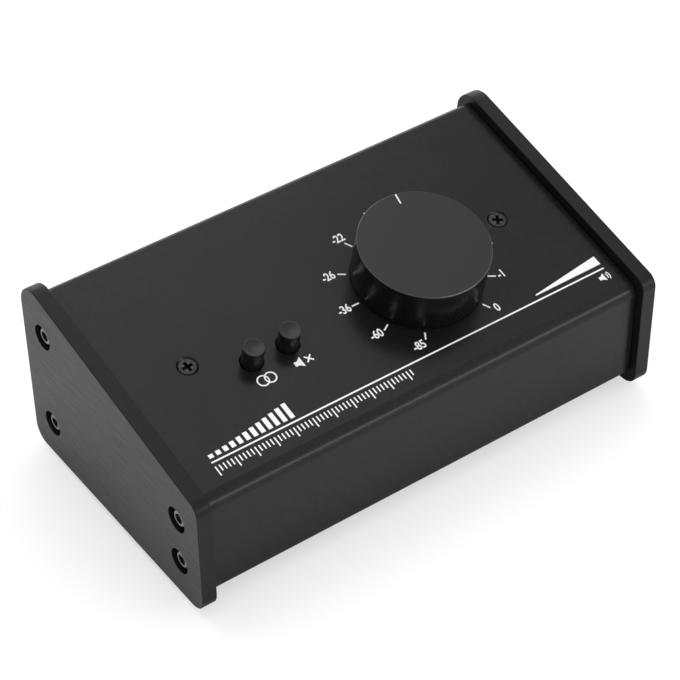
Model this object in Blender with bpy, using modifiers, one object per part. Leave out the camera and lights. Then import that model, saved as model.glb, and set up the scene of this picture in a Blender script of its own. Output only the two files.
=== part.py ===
"""Studio monitor controller: a wedge-shaped desktop box with a volume knob and two push buttons.

All sizes are in metres. X runs along the width, the front faces -Y and +Z is up. The origin lies on
the surface that the rubber feet stand on, under the middle of the cheeks. The panel has a frame of
its own: x along the width, u up the slope and n straight out of the panel, from a point on the
panel's outer face above the origin.
"""
from math import atan, cos, pi, radians, sin, sqrt, tan

import bmesh
import bpy
from mathutils import Vector
from mathutils.geometry import interpolate_bezier

# Clearances
SEAT_GAP = 0.0003            # between pieces that touch
CUT_OVERRUN = 0.0010         # how far a cutter runs past a face
WEB_OVERLAP = 0.0006         # how deep a joined piece is sunk into what it is joined to

# Cheeks
OVERALL_WIDTH = 0.1630
CHEEK_THICKNESS = 0.0049
CHEEK_DEPTH = 0.0908
CHEEK_FRONT_HEIGHT = 0.0413
CHEEK_REAR_HEIGHT = 0.0631
CHEEK_FRONT_TOP_RADIUS = 0.0042
CHEEK_REAR_TOP_RADIUS = 0.0076
CHEEK_BOTTOM_RADIUS = 0.0054
CHEEK_EDGE_BEVEL = 0.00025

# Feet
RIDE_HEIGHT = 0.0025         # from the table to the cheeks' underside
FOOT_RADIUS = 0.0060
FOOT_EDGE_RADIUS = 0.0008
FOOT_END_INSET = 0.0150      # from the shell's end to a foot's centre
FOOT_FLANGE_CLEARANCE = 0.0012

# Shell: how far it lies inside the cheeks' outline, its wall and its inner bend radii
PANEL_RECESS = 0.0033
FRONT_RECESS = 0.0028
REAR_RECESS = 0.0041
BOTTOM_RECESS = 0.0040
WALL = 0.0018
PANEL_FRONT_BEND = 0.0027
PANEL_REAR_BEND = 0.0007
BOTTOM_BEND = 0.0004
FLANGE_WIDTH = 0.0080
LEDGE_WIDTH = 0.0022
LEDGE_THICKNESS = 0.0012
BASE_THICKNESS = 0.0015

# Screws: all share one shank, in a cross recess the driver takes
SHANK_RADIUS = 0.00135
SHANK_CLEARANCE = 0.0003
SCREW_TIP_CHAMFER = 0.0004
RECESS_SPAN = 0.0031
RECESS_WIDTH = 0.0009
RECESS_DEPTH = 0.0012
PAN_HEAD_RADIUS = 0.00275
PAN_HEAD_HEIGHT = 0.0020
PAN_HEAD_DOME = 0.0006
FLAT_HEAD_RADIUS = 0.00275
FLAT_HEAD_RIM = 0.0002
FLAT_HEAD_SINK = 0.00025
COUNTERSINK_CLEARANCE = 0.00055

# Cheek screws and the shell's screw channels
CHEEK_SCREW_LENGTH = 0.0100
CHEEK_SCREW_SINK = 0.0007
COUNTERBORE_RADIUS = 0.0041
CHEEK_SCREW_INSET = 0.0110   # from the cheek's front or rear edge
CHEEK_SCREW_LOWER = 0.0129   # above the cheek's underside
CHEEK_SCREW_FRONT_DROP = 0.0147
CHEEK_SCREW_REAR_DROP = 0.0138
CHANNEL_WALL = 0.0015
CHANNEL_WEB = 0.0024
CHANNEL_END_INSET = 0.0004

# Panel screws, standoffs and the control board
PANEL_SCREW_INSET = 0.0207   # from the shell's end
PANEL_SCREW_U = -0.0020
PANEL_SCREW_LENGTH = 0.0060
STANDOFF_RADIUS = 0.0030
BOARD_DROP = 0.0140          # from the panel's outer face to the control board's top
BOARD_THICKNESS = 0.0016
BOARD_MARGIN = 0.0055        # from a standoff's centre to the board's end
BOARD_FRONT_U = -0.0200
BOARD_REAR_U = 0.0060
BOARD_SCREW_LENGTH = 0.0060

# Attenuator
KNOB_PLACE_SHARE = 0.2768    # of the way from the middle to the shell's right end
KNOB_U = -0.0075
BUSHING_RADIUS = 0.0045
BUSHING_RISE = 0.0050
BUSHING_CHAMFER = 0.0004
HOUSING_WIDTH = 0.0220
HOUSING_BEVEL = 0.0015
HOUSING_DROP = 0.0006        # from the panel's underside to the housing
SHAFT_RADIUS = 0.0030
SHAFT_RISE = 0.0120
SHAFT_CHAMFER = 0.0005
SHAFT_SEAT = 0.0060          # how deep the shaft sits in the housing
WASHER_RADIUS = 0.0075
WASHER_THICKNESS = 0.0005
NUT_WIDTH = 0.0120           # across flats
NUT_THICKNESS = 0.0020
NUT_CHAMFER = 0.0003

# Knob
KNOB_RADIUS = 0.0200
KNOB_HEIGHT = 0.0141
KNOB_LIFT = 0.0006           # from the panel to the knob's underside
KNOB_TOP_CHAMFER = 0.00035
KNOB_FOOT_CHAMFER = 0.0003
KNOB_BORE_TOP = 0.0020       # solid metal left above the bore
POCKET_CLEARANCE = 0.0007
POINTER_LENGTH = 0.0042
POINTER_WIDTH = 0.0006
POINTER_DEPTH = 0.0002
POINTER_ANGLE = radians(10)  # clockwise from straight up the slope
SET_SCREW_RADIUS = 0.0015
SET_SCREW_LENGTH = 0.0090
SET_SCREW_HEIGHT = 0.0082    # above the knob's underside
SOCKET_WIDTH = 0.0015
SOCKET_DEPTH = 0.0018

# Push buttons and their switches
MONO_INSET = 0.03735         # from the shell's left end
BUTTON_PITCH = 0.0124
BUTTON_U = -0.0096
BUTTON_RADIUS = 0.0032
BUTTON_RISE = 0.0067         # from the panel to the rim of the cap's dished top
BUTTON_EDGE_RADIUS = 0.0002
BUTTON_DISH = 0.0005
BUTTON_HOLE_CLEARANCE = 0.0005
BUTTON_TRAVEL = 0.0020
TRAVEL_MARGIN = 0.0005
FLANGE_RADIUS = 0.0045
FLANGE_THICKNESS = 0.0010
PLUNGER_RADIUS = 0.0015
PLUNGER_SOCKET = 0.0040      # how deep the plunger sits in the cap
PLUNGER_SEAT = 0.0030        # how deep it sits in the switch at rest
SWITCH_WIDTH = 0.0085
SWITCH_BEVEL = 0.0005

# Jack sockets
JACK_NAMES = ("in_left", "in_right", "out_left", "out_right")
JACK_INSET = 0.0263          # from the shell's end to the outer jacks
JACK_PITCH = 0.0260
JACK_HEIGHT = 0.0285         # axis above the cheeks' underside
JACK_WIDTH = 0.0160
JACK_FRONT_CLEARANCE = 0.0032    # from the control board to the jacks
JACK_BACK_WALL = 0.0040      # behind the bore
JACK_BEVEL = 0.0008
JACK_BUSHING_RADIUS = 0.0056
JACK_PROUD = 0.0026          # how far the bushing stands out of the rear wall
JACK_BORE_RADIUS = 0.00325
JACK_MOUTH_CHAMFER = 0.0004
JACK_NUT_WIDTH = 0.0140
JACK_NUT_THICKNESS = 0.0019
JACK_BOARD_MARGIN = 0.0030
JACK_BOARD_FRONT = 0.0060    # how far the jack board reaches in front of the jacks

# Ribbon cable and its headers
RIBBON_WIDTH = 0.0127
RIBBON_THICKNESS = 0.0009
RIBBON_X = -0.0080
HEADER_LENGTH = 0.0160
HEADER_DEPTH = 0.0050
HEADER_HEIGHT = 0.0060
HEADER_BEVEL = 0.0003
CONTROL_HEADER_U = -0.0110
JACK_HEADER_INSET = 0.0045   # from the jack board's front edge to the header's centre
RIBBON_SLACK = 0.0190

# Turns an outline drawn in its own XY plane into the world's YZ plane
ALONG_WIDTH = (pi / 2, 0, pi / 2)

# Numbers of steps, which are not lengths
BEND_STEPS = 8
CORNER_STEPS = 6
SMALL_STEPS = 20
KNOB_STEPS = 72
RIBBON_STEPS = 16

# Derived places
SLOPE = atan((CHEEK_REAR_HEIGHT - CHEEK_FRONT_HEIGHT) / CHEEK_DEPTH)
CHEEK_FRONT = -CHEEK_DEPTH / 2
CHEEK_REAR = CHEEK_DEPTH / 2
SHELL_LENGTH = OVERALL_WIDTH - 2 * (CHEEK_THICKNESS + SEAT_GAP)
SHELL_FRONT = CHEEK_FRONT + FRONT_RECESS
SHELL_REAR = CHEEK_REAR - REAR_RECESS
SHELL_BOTTOM = RIDE_HEIGHT + BOTTOM_RECESS
BASE_UNDERSIDE = SHELL_BOTTOM + WALL + SEAT_GAP
BASE_TOP = BASE_UNDERSIDE + BASE_THICKNESS
BORE_RADIUS = SHANK_RADIUS + SHANK_CLEARANCE
HOUSING_TOP = -(WALL + HOUSING_DROP)
CAP_FOOT = -(WALL + SEAT_GAP + FLANGE_THICKNESS)
SWITCH_TOP = CAP_FOOT - BUTTON_TRAVEL - TRAVEL_MARGIN
BOARD_TOP = -BOARD_DROP
BOARD_UNDERSIDE = BOARD_TOP - BOARD_THICKNESS
PANEL_SCREW_X = SHELL_LENGTH / 2 - PANEL_SCREW_INSET
KNOB_X = KNOB_PLACE_SHARE * SHELL_LENGTH / 2
MONO_X = -SHELL_LENGTH / 2 + MONO_INSET
OUTER_JACK_X = SHELL_LENGTH / 2 - JACK_INSET
JACK_PLACES_X = (-OUTER_JACK_X, -OUTER_JACK_X + JACK_PITCH, OUTER_JACK_X - JACK_PITCH, OUTER_JACK_X)
JACK_AXIS_Z = RIDE_HEIGHT + JACK_HEIGHT
JACK_REAR = SHELL_REAR - WALL - SEAT_GAP
JACK_FRONT = BOARD_REAR_U * cos(SLOPE) - BOARD_UNDERSIDE * sin(SLOPE) + JACK_FRONT_CLEARANCE
JACK_BOARD_TOP = JACK_AXIS_Z - JACK_WIDTH / 2 - SEAT_GAP


def cheek_edge_z(y):
    """Height of the cheeks' sloping top edge."""
    return RIDE_HEIGHT + CHEEK_FRONT_HEIGHT + (y - CHEEK_FRONT) * tan(SLOPE)


def panel_z(y):
    """Height of the panel's outer face."""
    return cheek_edge_z(y) - PANEL_RECESS / cos(SLOPE)


def panel_to_world(u, n):
    """World y and z of a point in the panel's frame."""
    return u * cos(SLOPE) - n * sin(SLOPE), panel_z(0) + u * sin(SLOPE) + n * cos(SLOPE)


# Scene and objects

def clear_scene():
    for thing in list(bpy.data.objects):
        bpy.data.objects.remove(thing)


def new_collection(name):
    collection = bpy.data.collections.new(name)
    bpy.context.scene.collection.children.link(collection)
    return collection


def new_material(name, colour, roughness, metallic):
    material = bpy.data.materials.new(name)
    material.use_nodes = True
    shader = material.node_tree.nodes["Principled BSDF"]
    shader.inputs["Base Color"].default_value = (*colour, 1)
    shader.inputs["Roughness"].default_value = roughness
    shader.inputs["Metallic"].default_value = metallic
    return material


def new_object(name, data, material=None, parent=None, location=(0, 0, 0), rotation=(0, 0, 0)):
    """An object among the parts, placed in its parent's frame."""
    thing = bpy.data.objects.new(name, data)
    PARTS.objects.link(thing)
    thing.parent = parent
    thing.location = location
    thing.rotation_euler = rotation
    if material is not None:
        data.materials.clear()
        data.materials.append(material)
    return thing


def new_cutter(name, mesh, parent=None, location=(0, 0, 0), rotation=(0, 0, 0)):
    """A shape that cuts or joins another and isn't a piece itself."""
    cutter = new_object(name, mesh, None, parent, location, rotation)
    PARTS.objects.unlink(cutter)
    CUTTERS.objects.link(cutter)
    cutter.hide_render = True
    cutter.display_type = "WIRE"
    return cutter


def new_axes(name, parent=None, location=(0, 0, 0), rotation=(0, 0, 0)):
    """An empty that carries pieces."""
    axes = new_object(name, None, None, parent, location, rotation)
    axes.empty_display_size = KNOB_RADIUS
    return axes


def boolean(thing, cutter, operation="DIFFERENCE"):
    modifier = thing.modifiers.new(cutter.name, "BOOLEAN")
    modifier.operation = operation
    modifier.object = cutter
    return modifier


def bevel(thing, width, segments=2, angle=radians(40)):
    modifier = thing.modifiers.new("Bevel", "BEVEL")
    modifier.width = width
    modifier.segments = segments
    modifier.limit_method = "ANGLE"
    modifier.angle_limit = angle
    return modifier


def baked(thing):
    """The evaluated mesh of an object, which is then removed."""
    bpy.context.view_layer.update()
    depsgraph = bpy.context.evaluated_depsgraph_get()
    mesh = bpy.data.meshes.new_from_object(thing.evaluated_get(depsgraph))
    bpy.data.objects.remove(thing)
    return smoothed(mesh)


def smoothed(mesh):
    mesh.shade_smooth()
    mesh.set_sharp_from_angle(angle=radians(35))
    return mesh


# Shapes

def mesh_from(name, working):
    """A mesh made from a bmesh, with its normals pointing out."""
    bmesh.ops.recalc_face_normals(working, faces=working.faces)
    mesh = bpy.data.meshes.new(name)
    working.to_mesh(mesh)
    working.free()
    return mesh


def box_mesh(name, size, centre=(0, 0, 0)):
    working = bmesh.new()
    bmesh.ops.create_cube(working, size=1)
    bmesh.ops.scale(working, vec=size, verts=working.verts)
    bmesh.ops.translate(working, vec=centre, verts=working.verts)
    return mesh_from(name, working)


def rod_mesh(name, radius, low, high, steps=SMALL_STEPS):
    """A round rod along Z from low to high."""
    working = bmesh.new()
    bmesh.ops.create_cone(
        working, cap_ends=True, segments=steps, radius1=radius, radius2=radius, depth=high - low
    )
    bmesh.ops.translate(working, vec=(0, 0, (low + high) / 2), verts=working.verts)
    return smoothed(mesh_from(name, working))


def prism_mesh(name, width, low, high, sides=6):
    """A regular prism along Z with the given width across its flats."""
    return rod_mesh(name, width / 2 / cos(pi / sides), low, high, sides)


def turned_mesh(name, profile, steps=SMALL_STEPS, closed=False):
    """A profile of (radius, height) points, turned about Z. It runs down its outer side."""
    mesh = bpy.data.meshes.new(name)
    edges = [(i, i + 1) for i in range(len(profile) - 1)]
    if closed:
        edges.append((len(profile) - 1, 0))
    mesh.from_pydata([(radius, 0, height) for radius, height in profile], edges, [])
    thing = new_object(name + "_profile", mesh)
    screw = thing.modifiers.new("Screw", "SCREW")
    screw.steps = steps
    screw.render_steps = steps
    screw.use_merge_vertices = True
    screw.merge_threshold = SEAT_GAP / 30
    return baked(thing)


def arc_points(centre, radius, start, end, steps):
    """Points on an arc in a plane, both ends among them."""
    turn = (end - start) / steps
    return [
        centre + radius * Vector((cos(start + turn * i), sin(start + turn * i)))
        for i in range(steps + 1)
    ]


def rounded_path(corners, radii, steps, closed=True):
    """The corners joined by straight lines, each corner rounded to its radius."""
    points = []
    count = len(corners)
    for i, (corner, radius) in enumerate(zip(corners, radii)):
        here = Vector(corner)
        if not closed and i in (0, count - 1):
            points.append(here)
            continue
        back = (Vector(corners[i - 1]) - here).normalized()
        ahead = (Vector(corners[(i + 1) % count]) - here).normalized()
        half = back.angle(ahead) / 2
        centre = here + (back + ahead).normalized() * (radius / sin(half))
        first = here + back * (radius / tan(half)) - centre
        sweep = first.angle_signed(here + ahead * (radius / tan(half)) - centre)
        start = Vector((1, 0)).angle_signed(first)
        points += arc_points(centre, radius, -start, -start - sweep, steps)
    return points


def plate_mesh(name, outline, thickness):
    """A flat plate with the given outline, halved by its own XY plane."""
    curve = bpy.data.curves.new(name, "CURVE")
    curve.dimensions = "2D"
    curve.fill_mode = "BOTH"
    curve.extrude = thickness / 2
    spline = curve.splines.new("POLY")
    spline.points.add(len(outline) - 1)
    for point, (x, y) in zip(spline.points, outline):
        point.co = (x, y, 0, 1)
    spline.use_cyclic_u = True
    mesh = baked(new_object(name + "_outline", curve))
    working = bmesh.new()
    working.from_mesh(mesh)
    bmesh.ops.remove_doubles(working, verts=working.verts, dist=SEAT_GAP / 30)
    return smoothed(mesh_from(name, working))


def strip_mesh(name, path, width):
    """An open sheet along Z, halved by its own XY plane, that follows a path in that plane."""
    curve = bpy.data.curves.new(name, "CURVE")
    curve.dimensions = "2D"
    curve.fill_mode = "NONE"
    curve.extrude = width / 2
    spline = curve.splines.new("POLY")
    spline.points.add(len(path) - 1)
    for point, (x, y) in zip(spline.points, path):
        point.co = (x, y, 0, 1)
    return baked(new_object(name + "_path", curve))


def screw_mesh(name, profile):
    """A turned screw whose head's top lies on the XY plane, with its cross recess."""
    thing = new_object(name + "_blank", turned_mesh(name, profile))
    depth = 2 * RECESS_DEPTH
    sizes = ((RECESS_SPAN, RECESS_WIDTH, depth), (RECESS_WIDTH, RECESS_SPAN, depth))
    slots = [new_cutter(name + "_slot", box_mesh(name + "_slot", size)) for size in sizes]
    for slot in slots:
        boolean(thing, slot)
    mesh = baked(thing)
    for slot in slots:
        bpy.data.objects.remove(slot)
    return mesh


def pan_screw_mesh(name, length):
    """A pan-head screw: length counts from under its head."""
    tip = -(PAN_HEAD_HEIGHT + length)
    return screw_mesh(name, [
        (0, 0),
        (PAN_HEAD_RADIUS - PAN_HEAD_DOME, 0),
        (PAN_HEAD_RADIUS - PAN_HEAD_DOME / 3, -PAN_HEAD_DOME / 3),
        (PAN_HEAD_RADIUS, -PAN_HEAD_DOME),
        (PAN_HEAD_RADIUS, -PAN_HEAD_HEIGHT),
        (SHANK_RADIUS, -PAN_HEAD_HEIGHT),
        (SHANK_RADIUS, tip + SCREW_TIP_CHAMFER),
        (SHANK_RADIUS - SCREW_TIP_CHAMFER, tip),
        (0, tip),
    ])


def flat_screw_mesh(name, length):
    """A countersunk screw: length counts over all."""
    cone_end = -(FLAT_HEAD_RIM + FLAT_HEAD_RADIUS - SHANK_RADIUS)
    return screw_mesh(name, [
        (0, 0),
        (FLAT_HEAD_RADIUS, 0),
        (FLAT_HEAD_RADIUS, -FLAT_HEAD_RIM),
        (SHANK_RADIUS, cone_end),
        (SHANK_RADIUS, -length + SCREW_TIP_CHAMFER),
        (SHANK_RADIUS - SCREW_TIP_CHAMFER, -length),
        (0, -length),
    ])


def tube_mesh(name, outer, inner, low, high, steps=SMALL_STEPS):
    """A round tube along Z."""
    profile = [(outer, high), (outer, low), (inner, low), (inner, high)]
    return turned_mesh(name, profile, steps, closed=True)


def hex_nut_mesh(name, width, bore, thickness):
    """A hex nut lying on the XY plane."""
    thing = new_object(name + "_blank", prism_mesh(name, width, 0, thickness))
    bevel(thing, NUT_CHAMFER, segments=1, angle=radians(80))
    hole = new_cutter(name + "_hole", rod_mesh(name + "_hole", bore, -CUT_OVERRUN, thickness + CUT_OVERRUN))
    boolean(thing, hole)
    mesh = baked(thing)
    bpy.data.objects.remove(hole)
    return mesh


# Case

def shell_corners():
    """The shell's outer corners in the YZ plane, from the front flange's end to the rear one's."""
    return [
        (SHELL_FRONT + FLANGE_WIDTH, SHELL_BOTTOM),
        (SHELL_FRONT, SHELL_BOTTOM),
        (SHELL_FRONT, panel_z(SHELL_FRONT)),
        (SHELL_REAR, panel_z(SHELL_REAR)),
        (SHELL_REAR, SHELL_BOTTOM),
        (SHELL_REAR - FLANGE_WIDTH, SHELL_BOTTOM),
    ]


def channel_places():
    """World y and z of each screw channel, with the y of the wall that carries it."""
    front = CHEEK_FRONT + CHEEK_SCREW_INSET
    rear = CHEEK_REAR - CHEEK_SCREW_INSET
    lower = RIDE_HEIGHT + CHEEK_SCREW_LOWER
    return {
        "front_lower": (front, lower, SHELL_FRONT),
        "front_upper": (front, cheek_edge_z(front) - CHEEK_SCREW_FRONT_DROP, SHELL_FRONT),
        "rear_lower": (rear, lower, SHELL_REAR),
        "rear_upper": (rear, cheek_edge_z(rear) - CHEEK_SCREW_REAR_DROP, SHELL_REAR),
    }


def shell_sheet():
    """The bent sheet: an open surface along X, thickened inwards."""
    bends = [0] + [b + WALL for b in (BOTTOM_BEND, PANEL_FRONT_BEND, PANEL_REAR_BEND, BOTTOM_BEND)] + [0]
    path = rounded_path(shell_corners(), bends, BEND_STEPS, closed=False)
    mesh = strip_mesh("top_shell", path, SHELL_LENGTH)
    sheet = new_object("top_shell", mesh, BLACK_SHELL, None, (0, 0, 0), ALONG_WIDTH)
    solidify = sheet.modifiers.new("Solidify", "SOLIDIFY")
    solidify.thickness = WALL
    solidify.offset = -1
    solidify.use_even_offset = True
    return sheet


def shell_channels(sheet):
    """Four screw channels on webs and the two ledges that hold the base plate down."""
    half = SHELL_LENGTH / 2 - CHANNEL_END_INSET
    along_x = (0, pi / 2, 0)
    for place, (y, z, wall_y) in channel_places().items():
        side = 1 if wall_y > y else -1
        reach = abs(wall_y - y) - WALL + WEB_OVERLAP
        web = new_cutter(
            place + "_web", box_mesh(place + "_web", (2 * half, reach, CHANNEL_WEB)),
            location=(0, y + side * reach / 2, z),
        )
        boolean(sheet, web, "UNION")
        tube = new_cutter(
            place + "_channel", rod_mesh(place + "_channel", BORE_RADIUS + CHANNEL_WALL, -half, half),
            location=(0, y, z), rotation=along_x,
        )
        boolean(sheet, tube, "UNION")
    for place, wall_y, side in (("front", SHELL_FRONT + WALL, 1), ("rear", SHELL_REAR - WALL, -1)):
        size = (2 * half, LEDGE_WIDTH + WEB_OVERLAP, LEDGE_THICKNESS)
        ledge = new_cutter(
            place + "_ledge", box_mesh(place + "_ledge", size),
            location=(0, wall_y + side * (LEDGE_WIDTH - WEB_OVERLAP) / 2,
                      BASE_TOP + SEAT_GAP + LEDGE_THICKNESS / 2),
        )
        boolean(sheet, ledge, "UNION")
    for place, (y, z, _) in channel_places().items():
        reach = SHELL_LENGTH / 2 + CUT_OVERRUN
        bore = new_cutter(
            place + "_bore", rod_mesh(place + "_bore", BORE_RADIUS, -reach, reach),
            location=(0, y, z), rotation=along_x,
        )
        boolean(sheet, bore)


def shell_openings(sheet):
    """Holes for the panel screws, the attenuator, the buttons and the jacks."""
    under = -(WALL + CUT_OVERRUN)
    sink = FLAT_HEAD_RADIUS + COUNTERSINK_CLEARANCE
    for side, x in (("left", -PANEL_SCREW_X), ("right", PANEL_SCREW_X)):
        name = side + "_countersink"
        profile = [
            (0, CUT_OVERRUN),
            (sink, CUT_OVERRUN),
            (sink, -FLAT_HEAD_RIM),
            (BORE_RADIUS, -FLAT_HEAD_RIM - sink + BORE_RADIUS),
            (BORE_RADIUS, under),
            (0, under),
        ]
        cutter = new_cutter(name, turned_mesh(name, profile), PANEL, (x, PANEL_SCREW_U, 0))
        boolean(sheet, cutter)
    hole = rod_mesh("attenuator_hole", BUSHING_RADIUS + SEAT_GAP, under, CUT_OVERRUN)
    boolean(sheet, new_cutter("attenuator_hole", hole, PANEL, (KNOB_X, KNOB_U, 0)))
    for name, x in button_places().items():
        hole = rod_mesh(name + "_hole", BUTTON_RADIUS + BUTTON_HOLE_CLEARANCE, under, CUT_OVERRUN)
        boolean(sheet, new_cutter(name + "_hole", hole, PANEL, (x, BUTTON_U, 0)))
    for name, x in zip(JACK_NAMES, JACK_PLACES_X):
        hole = rod_mesh(name + "_hole", JACK_BUSHING_RADIUS + SEAT_GAP, under, CUT_OVERRUN)
        place = (x, SHELL_REAR, JACK_AXIS_Z)
        boolean(sheet, new_cutter(name + "_hole", hole, None, place, (-pi / 2, 0, 0)))


def make_cheeks():
    """Two flat plates with rounded corners and four counterbored holes each."""
    corners = [
        (CHEEK_FRONT, RIDE_HEIGHT),
        (CHEEK_REAR, RIDE_HEIGHT),
        (CHEEK_REAR, cheek_edge_z(CHEEK_REAR)),
        (CHEEK_FRONT, cheek_edge_z(CHEEK_FRONT)),
    ]
    radii = [CHEEK_BOTTOM_RADIUS, CHEEK_BOTTOM_RADIUS, CHEEK_REAR_TOP_RADIUS, CHEEK_FRONT_TOP_RADIUS]
    outline = rounded_path(corners, radii, CORNER_STEPS)
    floor = -(CHEEK_SCREW_SINK + PAN_HEAD_HEIGHT + SEAT_GAP)
    through = -(CHEEK_THICKNESS + CUT_OVERRUN)
    counterbore = turned_mesh("counterbore", [
        (0, CUT_OVERRUN),
        (COUNTERBORE_RADIUS, CUT_OVERRUN),
        (COUNTERBORE_RADIUS, floor),
        (BORE_RADIUS, floor),
        (BORE_RADIUS, through),
        (0, through),
    ])
    screw = pan_screw_mesh("cheek_screw", CHEEK_SCREW_LENGTH)
    outer = OVERALL_WIDTH / 2
    for name, side in (("left", -1), ("right", 1)):
        plate = plate_mesh(name + "_cheek", outline, CHEEK_THICKNESS)
        place = (side * (outer - CHEEK_THICKNESS / 2), 0, 0)
        cheek = new_object(name + "_cheek", plate, BLACK_CHEEK, None, place, ALONG_WIDTH)
        bevel(cheek, CHEEK_EDGE_BEVEL, segments=1, angle=radians(60))
        for corner, (y, z, _) in channel_places().items():
            hole_name = name + "_" + corner + "_counterbore"
            facing = (0, side * pi / 2, 0)
            boolean(cheek, new_cutter(hole_name, counterbore, None, (side * outer, y, z), facing))
            head = (side * (outer - CHEEK_SCREW_SINK), y, z)
            new_object("cheek_screw_" + name + "_" + corner, screw, BLACK_STEEL, None, head, facing)


def make_base_plate():
    """A plate that slides into the shell's grooves."""
    front = SHELL_FRONT + WALL + SEAT_GAP
    rear = SHELL_REAR - WALL - SEAT_GAP
    size = (SHELL_LENGTH, rear - front, BASE_THICKNESS)
    centre = (0, (front + rear) / 2, (BASE_UNDERSIDE + BASE_TOP) / 2)
    new_object("base_plate", box_mesh("base_plate", size), BLACK_SHELL, None, centre)


def make_feet():
    """Four rubber feet under the base plate, clear of the shell's flanges."""
    height = BASE_UNDERSIDE - SEAT_GAP
    foot = turned_mesh("foot", [
        (0, height),
        (FOOT_RADIUS, height),
        (FOOT_RADIUS, FOOT_EDGE_RADIUS),
        (FOOT_RADIUS - FOOT_EDGE_RADIUS * (1 - sqrt(0.5)), FOOT_EDGE_RADIUS * (1 - sqrt(0.5))),
        (FOOT_RADIUS - FOOT_EDGE_RADIUS, 0),
        (0, 0),
    ])
    inset = FLANGE_WIDTH + FOOT_FLANGE_CLEARANCE + FOOT_RADIUS
    for place_y, y in (("front", SHELL_FRONT + inset), ("rear", SHELL_REAR - inset)):
        for place_x, side in (("left", -1), ("right", 1)):
            x = side * (SHELL_LENGTH / 2 - FOOT_END_INSET)
            new_object("foot_" + place_y + "_" + place_x, foot, RUBBER, None, (x, y, 0))


# Controls

def make_panel_screws():
    """Two countersunk screws, their standoffs and the screws that hold the board to them."""
    flat = flat_screw_mesh("panel_screw", PANEL_SCREW_LENGTH)
    pan = pan_screw_mesh("board_screw", BOARD_SCREW_LENGTH)
    top = -(WALL + SEAT_GAP)
    standoff = tube_mesh("board_standoff", STANDOFF_RADIUS, BORE_RADIUS, BOARD_TOP + SEAT_GAP, top)
    head = BOARD_UNDERSIDE - SEAT_GAP - PAN_HEAD_HEIGHT
    for name, x in (("left", -PANEL_SCREW_X), ("right", PANEL_SCREW_X)):
        new_object("panel_screw_" + name, flat, BLACK_STEEL, PANEL, (x, PANEL_SCREW_U, -FLAT_HEAD_SINK))
        new_object("board_standoff_" + name, standoff, BRIGHT_STEEL, PANEL, (x, PANEL_SCREW_U, 0))
        new_object("board_screw_" + name, pan, BRIGHT_STEEL, PANEL, (x, PANEL_SCREW_U, head), (pi, 0, 0))


def make_control_board():
    """The board under the panel, with a hole for each screw."""
    width = 2 * (PANEL_SCREW_X + BOARD_MARGIN)
    size = (width, BOARD_REAR_U - BOARD_FRONT_U, BOARD_THICKNESS)
    centre = (0, (BOARD_REAR_U + BOARD_FRONT_U) / 2, (BOARD_TOP + BOARD_UNDERSIDE) / 2)
    board = new_object("control_board", box_mesh("control_board", size), CIRCUIT_BOARD, PANEL, centre)
    for name, x in (("left", -PANEL_SCREW_X), ("right", PANEL_SCREW_X)):
        hole = rod_mesh(
            name + "_board_hole", BORE_RADIUS, BOARD_UNDERSIDE - CUT_OVERRUN, BOARD_TOP + CUT_OVERRUN
        )
        boolean(board, new_cutter(name + "_board_hole", hole, PANEL, (x, PANEL_SCREW_U, 0)))


def make_attenuator():
    """The dual potentiometer: housing, bushing, washer, nut and shaft."""
    axis = new_axes("attenuator_axes", PANEL, (KNOB_X, KNOB_U, 0))
    floor = BOARD_TOP + SEAT_GAP
    size = (HOUSING_WIDTH, HOUSING_WIDTH, HOUSING_TOP - floor)
    housing = new_object(
        "attenuator_housing", box_mesh("attenuator_housing", size, (0, 0, (HOUSING_TOP + floor) / 2)),
        ZINC, axis,
    )
    bevel(housing, HOUSING_BEVEL, segments=2)
    well = rod_mesh(
        "shaft_well", SHAFT_RADIUS + SEAT_GAP, HOUSING_TOP - SHAFT_SEAT - SEAT_GAP,
        HOUSING_TOP + CUT_OVERRUN,
    )
    boolean(housing, new_cutter("shaft_well", well, axis))
    inner = SHAFT_RADIUS + SEAT_GAP
    bushing = turned_mesh("attenuator_bushing", [
        (BUSHING_RADIUS - BUSHING_CHAMFER, BUSHING_RISE),
        (BUSHING_RADIUS, BUSHING_RISE - BUSHING_CHAMFER),
        (BUSHING_RADIUS, HOUSING_TOP + SEAT_GAP),
        (inner, HOUSING_TOP + SEAT_GAP),
        (inner, BUSHING_RISE),
    ], closed=True)
    new_object("attenuator_bushing", bushing, BRIGHT_STEEL, axis)
    washer = tube_mesh(
        "attenuator_washer", WASHER_RADIUS, BUSHING_RADIUS + SEAT_GAP, SEAT_GAP,
        SEAT_GAP + WASHER_THICKNESS,
    )
    new_object("attenuator_washer", washer, BRIGHT_STEEL, axis)
    nut = hex_nut_mesh("attenuator_nut", NUT_WIDTH, BUSHING_RADIUS + SEAT_GAP, NUT_THICKNESS)
    new_object("attenuator_nut", nut, BRIGHT_STEEL, axis, (0, 0, 2 * SEAT_GAP + WASHER_THICKNESS))


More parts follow.
